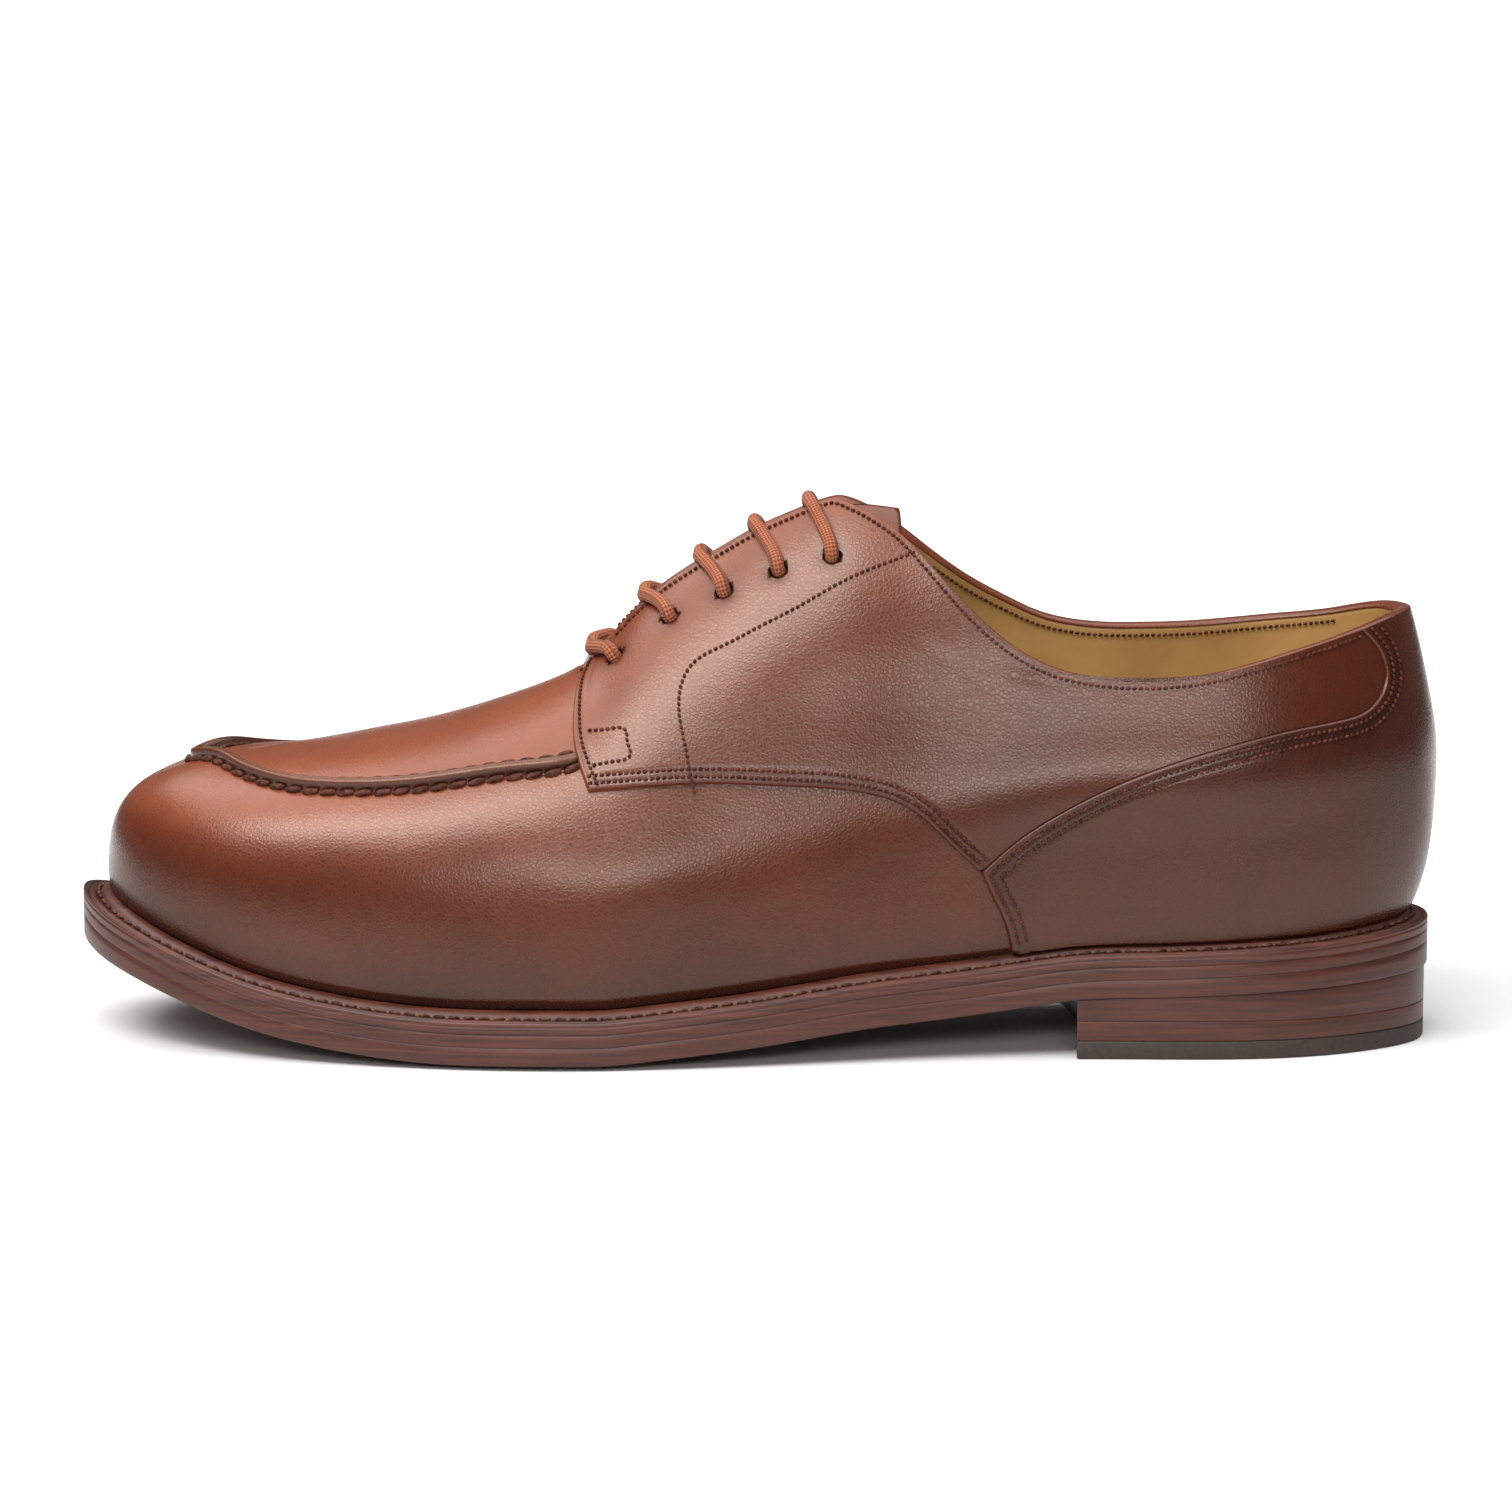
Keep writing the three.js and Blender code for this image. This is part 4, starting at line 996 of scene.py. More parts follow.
def calf_leather(name, deep, mid, bright, grain_size=0.9):
    """Aniline calf, cream polished: clear soft gloss, fine grain, colour clouded by hand.

    The pores are drawn coarser than real ones, which are too fine to show.
    """
    material, shader = new_material(
        name, IOR=1.5, Specular_IOR_Level=0.54, Specular_Tint=(1, 0.82, 0.70, 1),
        Coat_Weight=0.14, Coat_Roughness=0.2,
    )
    place = add_node(material, "ShaderNodeTexCoord")
    cloud = add_node(material, "ShaderNodeTexNoise", {"Scale": 20, "Detail": 4, "Roughness": 0.55},
                     {"Vector": place.outputs["Object"]})
    # The tone attribute carries painted light and shade, set by each piece: mostly paler where it faces
    # up
    tone_with_painted_light = add_node(material, "ShaderNodeAttribute", {"attribute_name": "tone"})
    fine = add_node(material, "ShaderNodeTexNoise", {"Scale": 260, "Detail": 3},
                    {"Vector": place.outputs["Object"]})
    cloud_share = add_node(material, "ShaderNodeMapRange",
                           {"From Min": 0.3, "From Max": 0.7, "To Min": -0.10, "To Max": 0.10},
                           {"Value": cloud.outputs["Fac"]})
    fine_share = add_node(material, "ShaderNodeMapRange", {"To Min": -0.06, "To Max": 0.06},
                          {"Value": fine.outputs["Fac"]})
    both = add_node(material, "ShaderNodeMath", {"operation": "ADD"},
                    {0: cloud_share.outputs["Result"], 1: fine_share.outputs["Result"]})
    depth = add_node(material, "ShaderNodeMath", {"operation": "ADD"},
                     {0: both.outputs["Value"], 1: tone_with_painted_light.outputs["Fac"]})
    ramp = add_node(material, "ShaderNodeValToRGB", links={"Fac": depth.outputs["Value"]})
    ramp.color_ramp.elements[0].color = srgb(deep)
    ramp.color_ramp.elements[1].color = srgb(bright)
    ramp.color_ramp.elements.new(0.5).color = srgb(mid)
    join(material, ramp.outputs["Color"], shader.inputs["Base Color"])
    grain = add_node(material, "ShaderNodeTexVoronoi",
                     {"Scale": 1000 / grain_size, "feature": "DISTANCE_TO_EDGE"},
                     {"Vector": place.outputs["Object"]})
    pores = add_node(material, "ShaderNodeMapRange", {"From Max": 0.25},
                     {"Value": grain.outputs["Distance"]})
    shine = add_node(material, "ShaderNodeMapRange", {"To Min": 0.35, "To Max": 0.26},
                     {"Value": pores.outputs["Result"]})
    join(material, shine.outputs["Result"], shader.inputs["Roughness"])
    pulled = add_node(material, "ShaderNodeMapping", {"Scale": (0.4, 1, 1)},
                      {"Vector": place.outputs["Object"]})
    soft = add_node(material, "ShaderNodeTexNoise", {"Scale": 330, "Detail": 4},
                    {"Vector": pulled.outputs["Vector"]})
    grain_bump = add_node(material, "ShaderNodeBump", {"Strength": 0.25, "Distance": 0.07 * MM},
                          {"Height": pores.outputs["Result"]})
    soft_bump = add_node(material, "ShaderNodeBump", {"Strength": 0.16, "Distance": 0.3 * MM},
                         {"Height": soft.outputs["Fac"], "Normal": grain_bump.outputs["Normal"]})
    join(material, soft_bump.outputs["Normal"], shader.inputs["Normal"])
    join(material, soft_bump.outputs["Normal"], shader.inputs["Coat Normal"])
    return material


vamp_calf = calf_leather("polished_chestnut_calf", "2a0d06", "5d2713", "8f4b2e")
quarter_calf = calf_leather("polished_quarter_calf", "260c06", "562312", "874529")


def painted_light_tone(normals, extra=0.0):
    """Tone of the calf with painted light: paler where it faces up towards the lamps, painted shade on
    the walls.
    """
    return 0.26 + 0.52 * soft_step(normals[..., 2], 0.05, 0.75) + extra


# Vegetable-tanned lining: open, matt ochre grain, a little uneven in colour.
lining, lining_shader = new_material("ochre_lining_leather", Roughness=0.66, IOR=1.5)
lining_place = add_node(lining, "ShaderNodeTexCoord")
lining_cloud = add_node(lining, "ShaderNodeTexNoise", {"Scale": 30, "Detail": 5},
                        {"Vector": lining_place.outputs["Object"]})
lining_ramp = add_node(lining, "ShaderNodeValToRGB", links={"Fac": lining_cloud.outputs["Fac"]})
lining_ramp.color_ramp.elements[0].position = 0.3
lining_ramp.color_ramp.elements[1].position = 0.7
lining_ramp.color_ramp.elements[0].color = srgb("a0743c")
lining_ramp.color_ramp.elements[1].color = srgb("c39a5c")
join(lining, lining_ramp.outputs["Color"], lining_shader.inputs["Base Color"])
lining_pores = add_node(lining, "ShaderNodeTexVoronoi", {"Scale": 1100},
                        {"Vector": lining_place.outputs["Object"]})
lining_bump = add_node(lining, "ShaderNodeBump", {"Strength": 0.2, "Distance": 0.1 * MM},
                       {"Height": lining_pores.outputs["Distance"]})
join(lining, lining_bump.outputs["Normal"], lining_shader.inputs["Normal"])

front_stations = spans((0, 0.5, 50), (0.5, throat_angle, 70))
back_stations = spans((throat_angle, 2.0, 90), (2.0, math.pi, 110))
WALL_STEPS, CHEEK_STEPS, CROWN_STEPS = 26, 26, 12


def wall_ups(angles):
    """Heights from the feather line past the seam's line to the rim."""
    rim = rim_up(angles)
    middle = np.minimum(seam_up(angles), 0.56 * rim)
    low = np.linspace(0, 1, WALL_STEPS, endpoint=False)[None]
    high = np.linspace(0, 1, CHEEK_STEPS + 1)[None]
    return np.concatenate([
        low * middle[:, None], middle[:, None] + high * (rim - middle)[:, None]
    ], 1)


def vamp_ups(angles):
    """As above, and on over the crown to the ridge."""
    ups = wall_ups(angles)
    crown = np.linspace(0, 1, CROWN_STEPS + 1)[None, 1:]
    rim = ups[:, -1:]
    return np.concatenate([ups, rim + crown * (1 - rim)], 1)


def upper_tone(angles, ups):
    """Painted shade along the welt, in the corner where the upper meets it, and darker round the toe.
    """
    points, normals = last_frame(angles, ups)
    # Painted shade in the corner against the welt
    welt_crease_shade = -0.14 * np.exp(-(ups / 0.08) ** 2)
    return painted_light_tone(normals, welt_crease_shade - 0.12 * soft_step(-points[..., 0], 100, 148))


def both_sides(make, angles):
    """Rows over the outer side, the ridge and the inner side."""
    outer, inner = make(-angles), make(angles)
    return np.concatenate([outer, inner[:, ::-1][:, 1:]], 1)


def upper_sheet(offset):
    front = both_sides(lambda a: skin(a, vamp_ups(a), offset), front_stations)
    outer = skin(-back_stations, wall_ups(-back_stations), offset)[::-1]
    inner = skin(back_stations, wall_ups(back_stations), offset)
    return [front[:, ::-1], outer, inner]


over = upper_sheet(0.0)
under = upper_sheet(-UPPER_WALL)
tone = [
    both_sides(lambda a: upper_tone(a, vamp_ups(a)), front_stations)[:, ::-1],
    upper_tone(-back_stations, wall_ups(-back_stations))[::-1],
    upper_tone(back_stations, wall_ups(back_stations)),
]
upper = shell(
    "calf_upper", list(zip(over, under)), [vamp_calf, lining], tone
)

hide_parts("upper")
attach(upper, "root")

# Insole: vegetable-tanned leather on a bed of cork, covered with an ochre sock.
SOCK_INSET = WELT_BAND + GAP
sock_x, sock_y, sock_share = rungs(
    outline(-half_turn, SOCK_INSET), outline(half_turn, SOCK_INSET),
    np.linspace(-1, 1, 21), SOCK_INSET,
)
sock_share[0], sock_share[-1] = sock_share[0, -1], sock_share[-1, -1]
sock_floor = midsole_top(sock_x, sock_share) + GAP
top = np.stack([sock_x, sock_y, sock_floor + INSOLE], -1)
bottom = np.stack([sock_x, sock_y, sock_floor], -1)
insole = shell("leather_insole", [(top, bottom)], [lining])
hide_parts("insole")
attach(insole, "root")

# Apron seam: the apron's edge and the vamp's are turned up together into a lip
# and sewn through by hand with thick waxed thread, which shows on both sides.
SEAM_END = from_toe(112.2)
LIP_PROFILE = [
    # beside the seam, towards the apron; height
    (-1.95, -0.30),
    (-1.80, 0.10),
    (-1.55, 0.55),
    (-1.38, 1.30),
    (-1.22, 2.05),
    (-0.95, 2.42),
    (-0.50, 2.55),
    (-0.10, 2.50),
    (0.06, 2.36),
    (0.22, 2.44),
    (0.62, 2.30),
    (0.95, 1.95),
    (1.15, 1.30),
    (1.35, 0.60),
    (1.62, 0.15),
    (1.90, -0.30),
]
seam_end_angle = angle_of_foot(SEAM_END)
seam_turn = spans((-seam_end_angle, -0.5, 110), (-0.5, 0.5, 130), (0.5, seam_end_angle, 110))


def smoothed(values, rounds):
    """Average each row with its neighbours, ends kept."""
    for _ in range(rounds):
        values = np.concatenate([
            values[:1], 0.25 * values[:-2] + 0.5 * values[1:-1] + 0.25 * values[2:], values[-1:]
        ])
    return values


seam_points, seam_normals = line_frame(seam_turn, seam_up(seam_turn))
seam_normals = unit(smoothed(seam_normals, 4))
seam_towards = unit(np.cross(seam_normals, unit(np.gradient(seam_points, axis=0))))
seam_towards *= np.sign(seam_towards[len(seam_turn) // 2, 0])
taper = 0.65 + 0.35 * soft_step(seam_end_angle - np.abs(seam_turn), 0, 0.04)
lip_rows = [
    seam_points + seam_towards * beside + seam_normals * (height * taper)[:, None]
    for beside, height in LIP_PROFILE
]
dark_calf = calf_leather("dark_seam_calf", "250f09", "4c2416", "70412d", 0.7)
lip_faces = grid_faces(len(lip_rows), len(seam_turn))
lip_faces.append([k * len(seam_turn) for k in range(len(lip_rows))])
lip_faces.append([k * len(seam_turn) + len(seam_turn) - 1 for k in range(len(lip_rows))][::-1])
# Painted light on the lip: paler on the crest that faces up, darker down its sides
lip_height = np.repeat([height for _, height in LIP_PROFILE], len(seam_turn))
lip = make_mesh("apron_lip", np.concatenate(lip_rows), lip_faces, dark_calf,
                tones=0.28 + 0.5 * soft_step(lip_height, 1.9, 2.5))
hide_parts("apron_seam")
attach(lip, "root")

seam_thread = thread_material("dark_seam_thread", "2e150c", "65392a")
for_wall = seam_points + seam_towards * -2.05 + seam_normals * 0.15
for_apron = seam_points + seam_towards * 1.95 + seam_normals * 0.05
sew("apron_stitches", [
    stitch_row(for_wall, unit(seam_normals - 0.8 * seam_towards), 4.2, 4.3, 1.45, 0.35, 0.16),
    stitch_row(for_apron, unit(seam_normals + 0.8 * seam_towards), 4.2, 3.6, 1.1, 0.35, -0.16),
], seam_thread)

# Quarters: the two side pieces of the derby, cut from calf, edges folded or
# inked, laid over the vamp and closed with two rows of stitches.
QUARTER_THICKNESS = 1.2
COUNTER_THICKNESS = 1.9

QUARTER_FRONT = np.array([
    # along, height
    [0.382, 0.713],
    [0.373, 0.817],
    [0.370, 0.881],
    [0.370, 0.958],
    [0.373, 1.028],
    [0.381, 1.084],
    [0.392, 1.146],
    [0.405, 1.213],
])

QUARTER_FOOT = np.array([
    # along, height
    [0.382, 0.713],
    [0.464, 0.704],
    [0.506, 0.673],
    [0.548, 0.633],
    [0.580, 0.594],
    [0.605, 0.547],
    [0.622, 0.491],
    [0.635, 0.428],
    [0.663, 0.290],
])

COUNTER_FRONT = np.array([
    # along, height
    [0.6895, -0.090],
    [0.684, 0.062],
    [0.678, 0.144],
    [0.670, 0.224],
    [0.664, 0.290],
])

COUNTER_TOP = np.array([
    # along, height
    [0.664, 0.290],
    [0.679, 0.342],
    [0.707, 0.418],
    [0.735, 0.477],
    [0.777, 0.557],
    [0.836, 0.637],
    [0.893, 0.687],
    [0.923, 0.703],
    [0.941, 0.723],
    [0.951, 0.760],
    [0.956, 0.811],
    [0.955, 0.866],
    [0.950, 0.915],
    [0.938, 0.976],
])


def drawn(table, count):
    """A smooth line in side view through a table's rows, evenly spaced."""
    x = along_to_x(table[:, 0])
    corners = np.column_stack([x, welt_level(x) + table[:, 1] * BACK_RISE])
    chords = np.linalg.norm(np.diff(corners, axis=0), axis=1)
    travelled = np.concatenate([[0], np.cumsum(chords)])
    dense = np.linspace(0, travelled[-1], 600)
    line = np.column_stack([curve_through(travelled, corners[:, k])(dense) for k in (0, 1)])
    steps = np.linalg.norm(np.diff(line, axis=0), axis=1)
    along = np.concatenate([[0], np.cumsum(steps)])
    even = np.linspace(0, along[-1], count)
    return np.column_stack([np.interp(even, along, line[:, k]) for k in (0, 1)])


def on_last(places, side, offset=0.9):
    """The angle and height whose point of the skin has this x and z in side view."""
    def seen(angle, up):
        return skin(angle, up[:, None], offset)[:, 0][:, [0, 2]]

    angles = side * np.linspace(0.8, math.pi - 0.002, 220)
    ups = np.linspace(0, 0.99, 70)
    coarse = skin(angles, np.tile(ups, (len(angles), 1)), offset)[..., [0, 2]].reshape(-1, 2)
    nearest = [int(np.argmin(((coarse - place) ** 2).sum(1))) for place in places]
    angle, up = angles[np.array(nearest) // len(ups)], ups[np.array(nearest) % len(ups)]
    step = 0.002
    for _ in range(8):
        here = seen(angle, up)
        turn = (seen(angle + step, up) - here) / step
        rise = (seen(angle, up + step) - here) / step
        miss = places - here
        area = turn[:, 0] * rise[:, 1] - turn[:, 1] * rise[:, 0]
        area = np.where(np.abs(area) < 1, np.sign(area) + 1e-9, area)
        angle = angle + np.clip((miss[:, 0] * rise[:, 1] - miss[:, 1] * rise[:, 0]) / area, -0.03, 0.03)
        up = up + np.clip((turn[:, 0] * miss[:, 1] - turn[:, 1] * miss[:, 0]) / area, -0.03, 0.03)
        up = np.clip(up, 0, 0.995)
        angle = side * np.clip(side * angle, 0.7, math.pi - 0.0005)
    return np.column_stack([angle, up])


def resample(line, shares):
    """A line's points at shares of its length."""
    places = skin(line[:, 0], line[:, 1:2], 0.0)[:, 0]
    travelled = np.concatenate([[0], np.cumsum(np.linalg.norm(np.diff(places, axis=0), axis=1))])
    travelled /= travelled[-1]
    return np.column_stack([np.interp(shares, travelled, line[:, k]) for k in (0, 1)])


def fill(bottom, top, left, right, along, rise):
    """Fill four edges: along runs from left to right, rise from bottom to top."""
    s, t = along[:, None, None], rise[None, :, None]
    ruled = (1 - t) * bottom[:, None] + t * top[:, None] + (1 - s) * left[None] + s * right[None]
    corners = ((1 - s) * (1 - t) * bottom[0] + s * (1 - t) * bottom[-1]
               + (1 - s) * t * top[0] + s * t * top[-1])
    return ruled - corners


def edge_distance(points, edge):
    """The distance from each point to a line of points."""
    dense = np.concatenate([edge + (np.roll(edge, -1, 0) - edge) * k / 6 for k in range(6)])
    dense = np.concatenate([dense[:len(edge) * 6].reshape(6, -1, 3)[:, :-1].reshape(-1, 3), edge[-1:]])
    flat = points.reshape(-1, 3)
    nearest = np.empty(len(flat))
    for first in range(0, len(flat), 2000):
        part = flat[first:first + 2000]
        gaps = ((part[:, None] - dense[None]) ** 2).sum(-1)
        nearest[first:first + 2000] = np.sqrt(gaps.min(1))
    return nearest.reshape(points.shape[:2])


def overlay_height(distance, thickness, rows):
    """A cut edge with a rounded corner, and a groove under each row of stitches."""
    rim = np.clip(distance / 0.5, 0, 1)
    height = thickness * np.sqrt(1 - (1 - rim) ** 2)
    for row in rows:
        height = height - 0.16 * np.exp(-((distance - row) / 0.42) ** 2)
    return height


FINE_SHARES = np.array([0, 0.002, 0.005, 0.01, 0.016, 0.024, 0.032, 0.04, 0.048, 0.056, 0.064,
                        0.072, 0.08, 0.09, 0.1, 0.112, 0.125])
QUARTER_STITCH_ROWS = (1.5, 3.1)
COUNTER_STITCH_ROWS = (1.8, 3.7)
FOOT_SHARES = np.concatenate([FINE_SHARES, np.linspace(0.14, 1, 70)])
HEEL_SHARES = np.linspace(0, 1, 120)
FOOT_SHARE = 0.4

# Eyelets: five holes punched in each facing, without metal.
EYELET_COUNT = 5
EYELET_ROW_FROM_TOE = 121.1
EYELET_SETBACK = 8.5
EYELET_HOLE = 3.9


def eyelet_places(side):
    """Centres and directions of one side's holes."""
    feet = [from_toe(EYELET_ROW_FROM_TOE + i * EYELET_SPACING) for i in range(EYELET_COUNT)]
    angles = side * np.array([angle_of_foot(x) for x in feet])
    return line_frame(angles, up_at_reach(angles, THROAT_HALF_GAP + EYELET_SETBACK))


def hole_distance(points, side):
    """How far points lie from the nearest eyelet of a side."""
    centres, _ = eyelet_places(side)
    return np.sqrt(((points[..., None, :] - centres) ** 2).sum(-1)).min(-1)


quarter_edges = {}
quarters = []
for side, name, node in ((-1, "outer_quarter", "quarter_lateral"),
                         (1, "inner_quarter", "quarter_medial")):
    front = on_last(drawn(QUARTER_FRONT, 60), side)
    throat = side * np.linspace(1.2, 2.2, 800)
    rim_x = skin(throat, rim_up(throat)[:, None], 0.9)[:, 0, 0]
    start = throat[np.argmin(np.abs(rim_x - along_to_x(0.400)))]
    front = front[front[:, 1] < rim_up(front[:, 0])]
    front = np.concatenate([front, [[start, rim_up(np.array([start]))[0]]]])
    foot = on_last(drawn(QUARTER_FOOT, 100), side)
    heel = on_last(drawn(COUNTER_TOP, 140), side)
    end_angle = heel[-1, 0]
    end = np.array([end_angle, rim_up(heel[-1:, 0])[0]])
    heel = np.concatenate([heel[heel[:, 1] < rim_up(heel[:, 0])], [end]])
    bottom = np.concatenate([
        resample(foot, FOOT_SHARES),
        resample(heel, HEEL_SHARES)[1:],
    ])
    rim_line = np.linspace(start, end_angle, 700)
    rim_line = np.column_stack([rim_line, rim_up(rim_line)])
    rim_places = skin(rim_line[:, 0], rim_line[:, 1:], 0.9)[:, 0]
    corner = np.argmin(np.abs(rim_places[:, 0] - along_to_x(0.665)))
    top = np.concatenate([
        resample(rim_line[:corner + 1], FOOT_SHARES),
        resample(rim_line[corner:], HEEL_SHARES)[1:],
    ])
    rise = np.concatenate([FINE_SHARES, np.linspace(0.14, 1, 80)])
    left = resample(front, rise)
    right = np.repeat(bottom[-1:], len(rise), 0)
    along = np.concatenate([
        FOOT_SHARE * FOOT_SHARES, FOOT_SHARE + (1 - FOOT_SHARE) * HEEL_SHARES[1:]
    ])
    grid = fill(bottom, top, left, right, along, rise)
    angles, ups = grid[..., 0], grid[..., 1]
    flat = skin(angles.reshape(-1), ups.reshape(-1, 1), 0.0).reshape(*angles.shape, 3)
    edge = np.concatenate([flat[0, ::-1], flat[1:len(FOOT_SHARES), 0]])
    distance = edge_distance(flat, edge)
    height = overlay_height(distance, QUARTER_THICKNESS + GAP, QUARTER_STITCH_ROWS)
    drilled = hole_distance(flat, side)
    height = height - 0.3 * np.exp(-((drilled / 2.6) ** 2))
    normals = last_frame(angles.reshape(-1), ups.reshape(-1, 1))[1].reshape(*angles.shape, 3)
    over = flat + normals * height[..., None]
    under = flat - normals * 0.2
    # Painted highlight along the cut edge, painted shade along the first stitch groove, and darker
    # round each eyelet hole
    edge_highlight_and_groove_shade = 0.12 * np.exp(-(distance / 0.35) ** 2) - 0.12 * np.exp(-((distance - 1.4) / 0.8) ** 2)
    tone = painted_light_tone(normals, edge_highlight_and_groove_shade - 0.4 * np.exp(-((drilled / 3) ** 2)))
    if side > 0:
        over, under, tone = over[::-1], under[::-1], tone[::-1]
    piece = shell(name, [(over[::-1], under[::-1])], [quarter_calf], [tone[::-1]])
    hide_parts(node)
    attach(piece, "root")
    quarters.append(piece)
    quarter_edges[side] = (front, foot, heel, rim_line)


def punch(piece, side):
    """Cut one side's eyelet holes through a piece."""
    drills = []
    for centre, normal in zip(*eyelet_places(side)):
        bpy.ops.mesh.primitive_cylinder_add(
            vertices=28, radius=EYELET_HOLE / 2 * MM, depth=14 * MM,
            location=((centre + SHIFT) * MM).tolist(),
            rotation=Vector(normal).to_track_quat("Z", "Y").to_euler(),
        )
        drills.append(bpy.context.object)
    bpy.ops.object.select_all(action="DESELECT")
    for drill in drills:
        drill.select_set(True)
    bpy.context.view_layer.objects.active = drills[0]
    bpy.ops.object.join()
    drill = bpy.context.object
    bpy.context.view_layer.objects.active = piece
    cut = piece.modifiers.new("eyelet_holes", "BOOLEAN")
    cut.operation = "DIFFERENCE"
    cut.solver = "EXACT"
    cut.object = drill
    bpy.ops.object.modifier_apply(modifier="eyelet_holes")
    bpy.data.objects.remove(drill)


for side, piece in zip((-1, 1), quarters):
    punch(piece, side)
    punch(upper, side)

# Heel counter: one outer stiffener of the same calf, sewn round the back over
# the ends of the quarters, with a narrow strip up to the top line.
STRIP_SHARES = np.concatenate([FINE_SHARES, np.linspace(0.15, 1, 24)])
STRIP_START = 0.90
counter_grids, counter_lines = [], {}
for side in (-1, 1):
    front = on_last(drawn(COUNTER_FRONT, 60), side)
    heel = quarter_edges[side][2]
    bend = int(np.argmax(np.abs(heel[:, 0])))
    back_rim = np.linspace(heel[-1, 0], side * math.pi, 40)
    back_rim = np.column_stack([back_rim, rim_up(back_rim)])
    level = np.column_stack([
        heel[bend, 0] + (side * math.pi - heel[bend, 0]) * STRIP_SHARES,
        np.full(len(STRIP_SHARES), heel[bend, 1]),
    ])
    wing = np.concatenate([FINE_SHARES, np.linspace(0.14, 1, 110)])
    along = np.concatenate([wing * STRIP_START, STRIP_START + (1 - STRIP_START) * STRIP_SHARES[1:]])
    foot = np.column_stack([front[0, 0] + (side * math.pi - front[0, 0]) * along, 0 * along])
    rise = np.concatenate([np.linspace(0, 0.875, 30, endpoint=False), 1 - FINE_SHARES[::-1]])
    left = resample(front, rise)
    top = np.concatenate([resample(heel[:bend + 1], wing), level[1:]])
    top[0] = left[-1]
    back_line = np.column_stack([0 * rise + side * math.pi, rise * heel[bend, 1]])
    strip_rise = np.linspace(0, 1, 26)
    strip_left = resample(heel[bend:], strip_rise)
    strip_back = np.column_stack([
        0 * strip_rise + side * math.pi,
        heel[bend, 1] + strip_rise * (back_rim[-1, 1] - heel[bend, 1]),
    ])
    grids = [
        fill(foot, top, left, back_line, along, rise),
        fill(level, resample(back_rim, STRIP_SHARES), strip_left, strip_back,
             STRIP_SHARES, strip_rise),
    ]
    frames = [
        [part.reshape(*grid.shape[:2], 3)
         for part in last_frame(grid[..., 0].reshape(-1), grid[..., 1].reshape(-1, 1))]
        for grid in grids
    ]
    edge = np.concatenate([frames[0][0][0], frames[0][0][1:len(wing), -1], frames[1][0][0, 1:]])
    for flat, normals in frames:
        distance = edge_distance(flat, edge)
        height = overlay_height(distance, COUNTER_THICKNESS + GAP, COUNTER_STITCH_ROWS)
        # Painted highlight along the cut edge and painted shade across the two stitch grooves
        edge_highlight_and_groove_shade = 0.22 * np.exp(-(distance / 0.35) ** 2) - 0.10 * np.exp(-((distance - 2.6) / 1.6) ** 2)
        tone = painted_light_tone(normals, edge_highlight_and_groove_shade - 0.08)
        parts = [flat + normals * height[..., None], flat - normals * 0.2, tone]
        counter_grids.append([part[:, ::-1] for part in parts] if side < 0 else parts)
    counter_lines[side] = (front, heel)
counter = shell(
    "calf_heel_counter", [(over, under) for over, under, _ in counter_grids],
    [quarter_calf], [tone for _, _, tone in counter_grids],
)
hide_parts("heel_counter")
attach(counter, "root")

# Edge of the upper: calf turned over the lining, rolled to a bead on the top
# line and pressed flat along the facings.
EDGE_TURNS = np.linspace(-math.pi / 2, math.pi / 2, 11)
edge_rows = []
for side in (-1, 1):
    start = quarter_edges[side][3][0, 0]
    turn = np.linspace(start, side * math.pi, 420)
    ups = rim_up(turn)
    points, normals = line_frame(turn, ups)
    ahead = unit(np.gradient(points, axis=0))
    outward = unit(points - line_frame(turn, ups - 0.02)[0])
    outward = unit(outward - (outward * ahead).sum(1)[:, None] * ahead)
    normals, outward = unit(smoothed(normals, 3)), unit(smoothed(outward, 3))
    x = points[:, 0]
    high = GAP + QUARTER_THICKNESS + 0.65 * soft_step(x, along_to_x(0.925), along_to_x(0.945))
    low = -UPPER_WALL - 0.15
    bead = 0.55 + 0.35 * soft_step(x, along_to_x(0.60), along_to_x(0.68))
    fade = soft_step(np.arange(len(turn)), -2, 6)
    middle, half = (high + low) / 2, (high - low) / 2
    rings = [
        points + normals * (middle + half * math.sin(a))[:, None]
        + outward * (bead * math.cos(a) * fade - 0.25)[:, None]
        for a in EDGE_TURNS
    ]
    rings.append(points + normals * middle[:, None] - outward * 0.9)
    edge_rows.append(np.stack(rings, 1))
edge_loop = np.concatenate([edge_rows[0], edge_rows[1][::-1][1:]])
edge_faces = grid_faces(edge_loop.shape[0], edge_loop.shape[1], close_columns=True)
count = edge_loop.shape[1]
edge_faces.append(list(range(count))[::-1])
edge_faces.append([len(edge_loop) * count - count + k for k in range(count)])
edge_tone = np.full(edge_loop.shape[0] * count, 0.62)
rim_edge = make_mesh("turned_edge", edge_loop.reshape(-1, 3), edge_faces, quarter_calf,
                     tones=edge_tone)
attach(rim_edge, "root")

# Stitching of the upper: fine dark linen, about eight stitches to the
# centimetre, sunk in grooves.


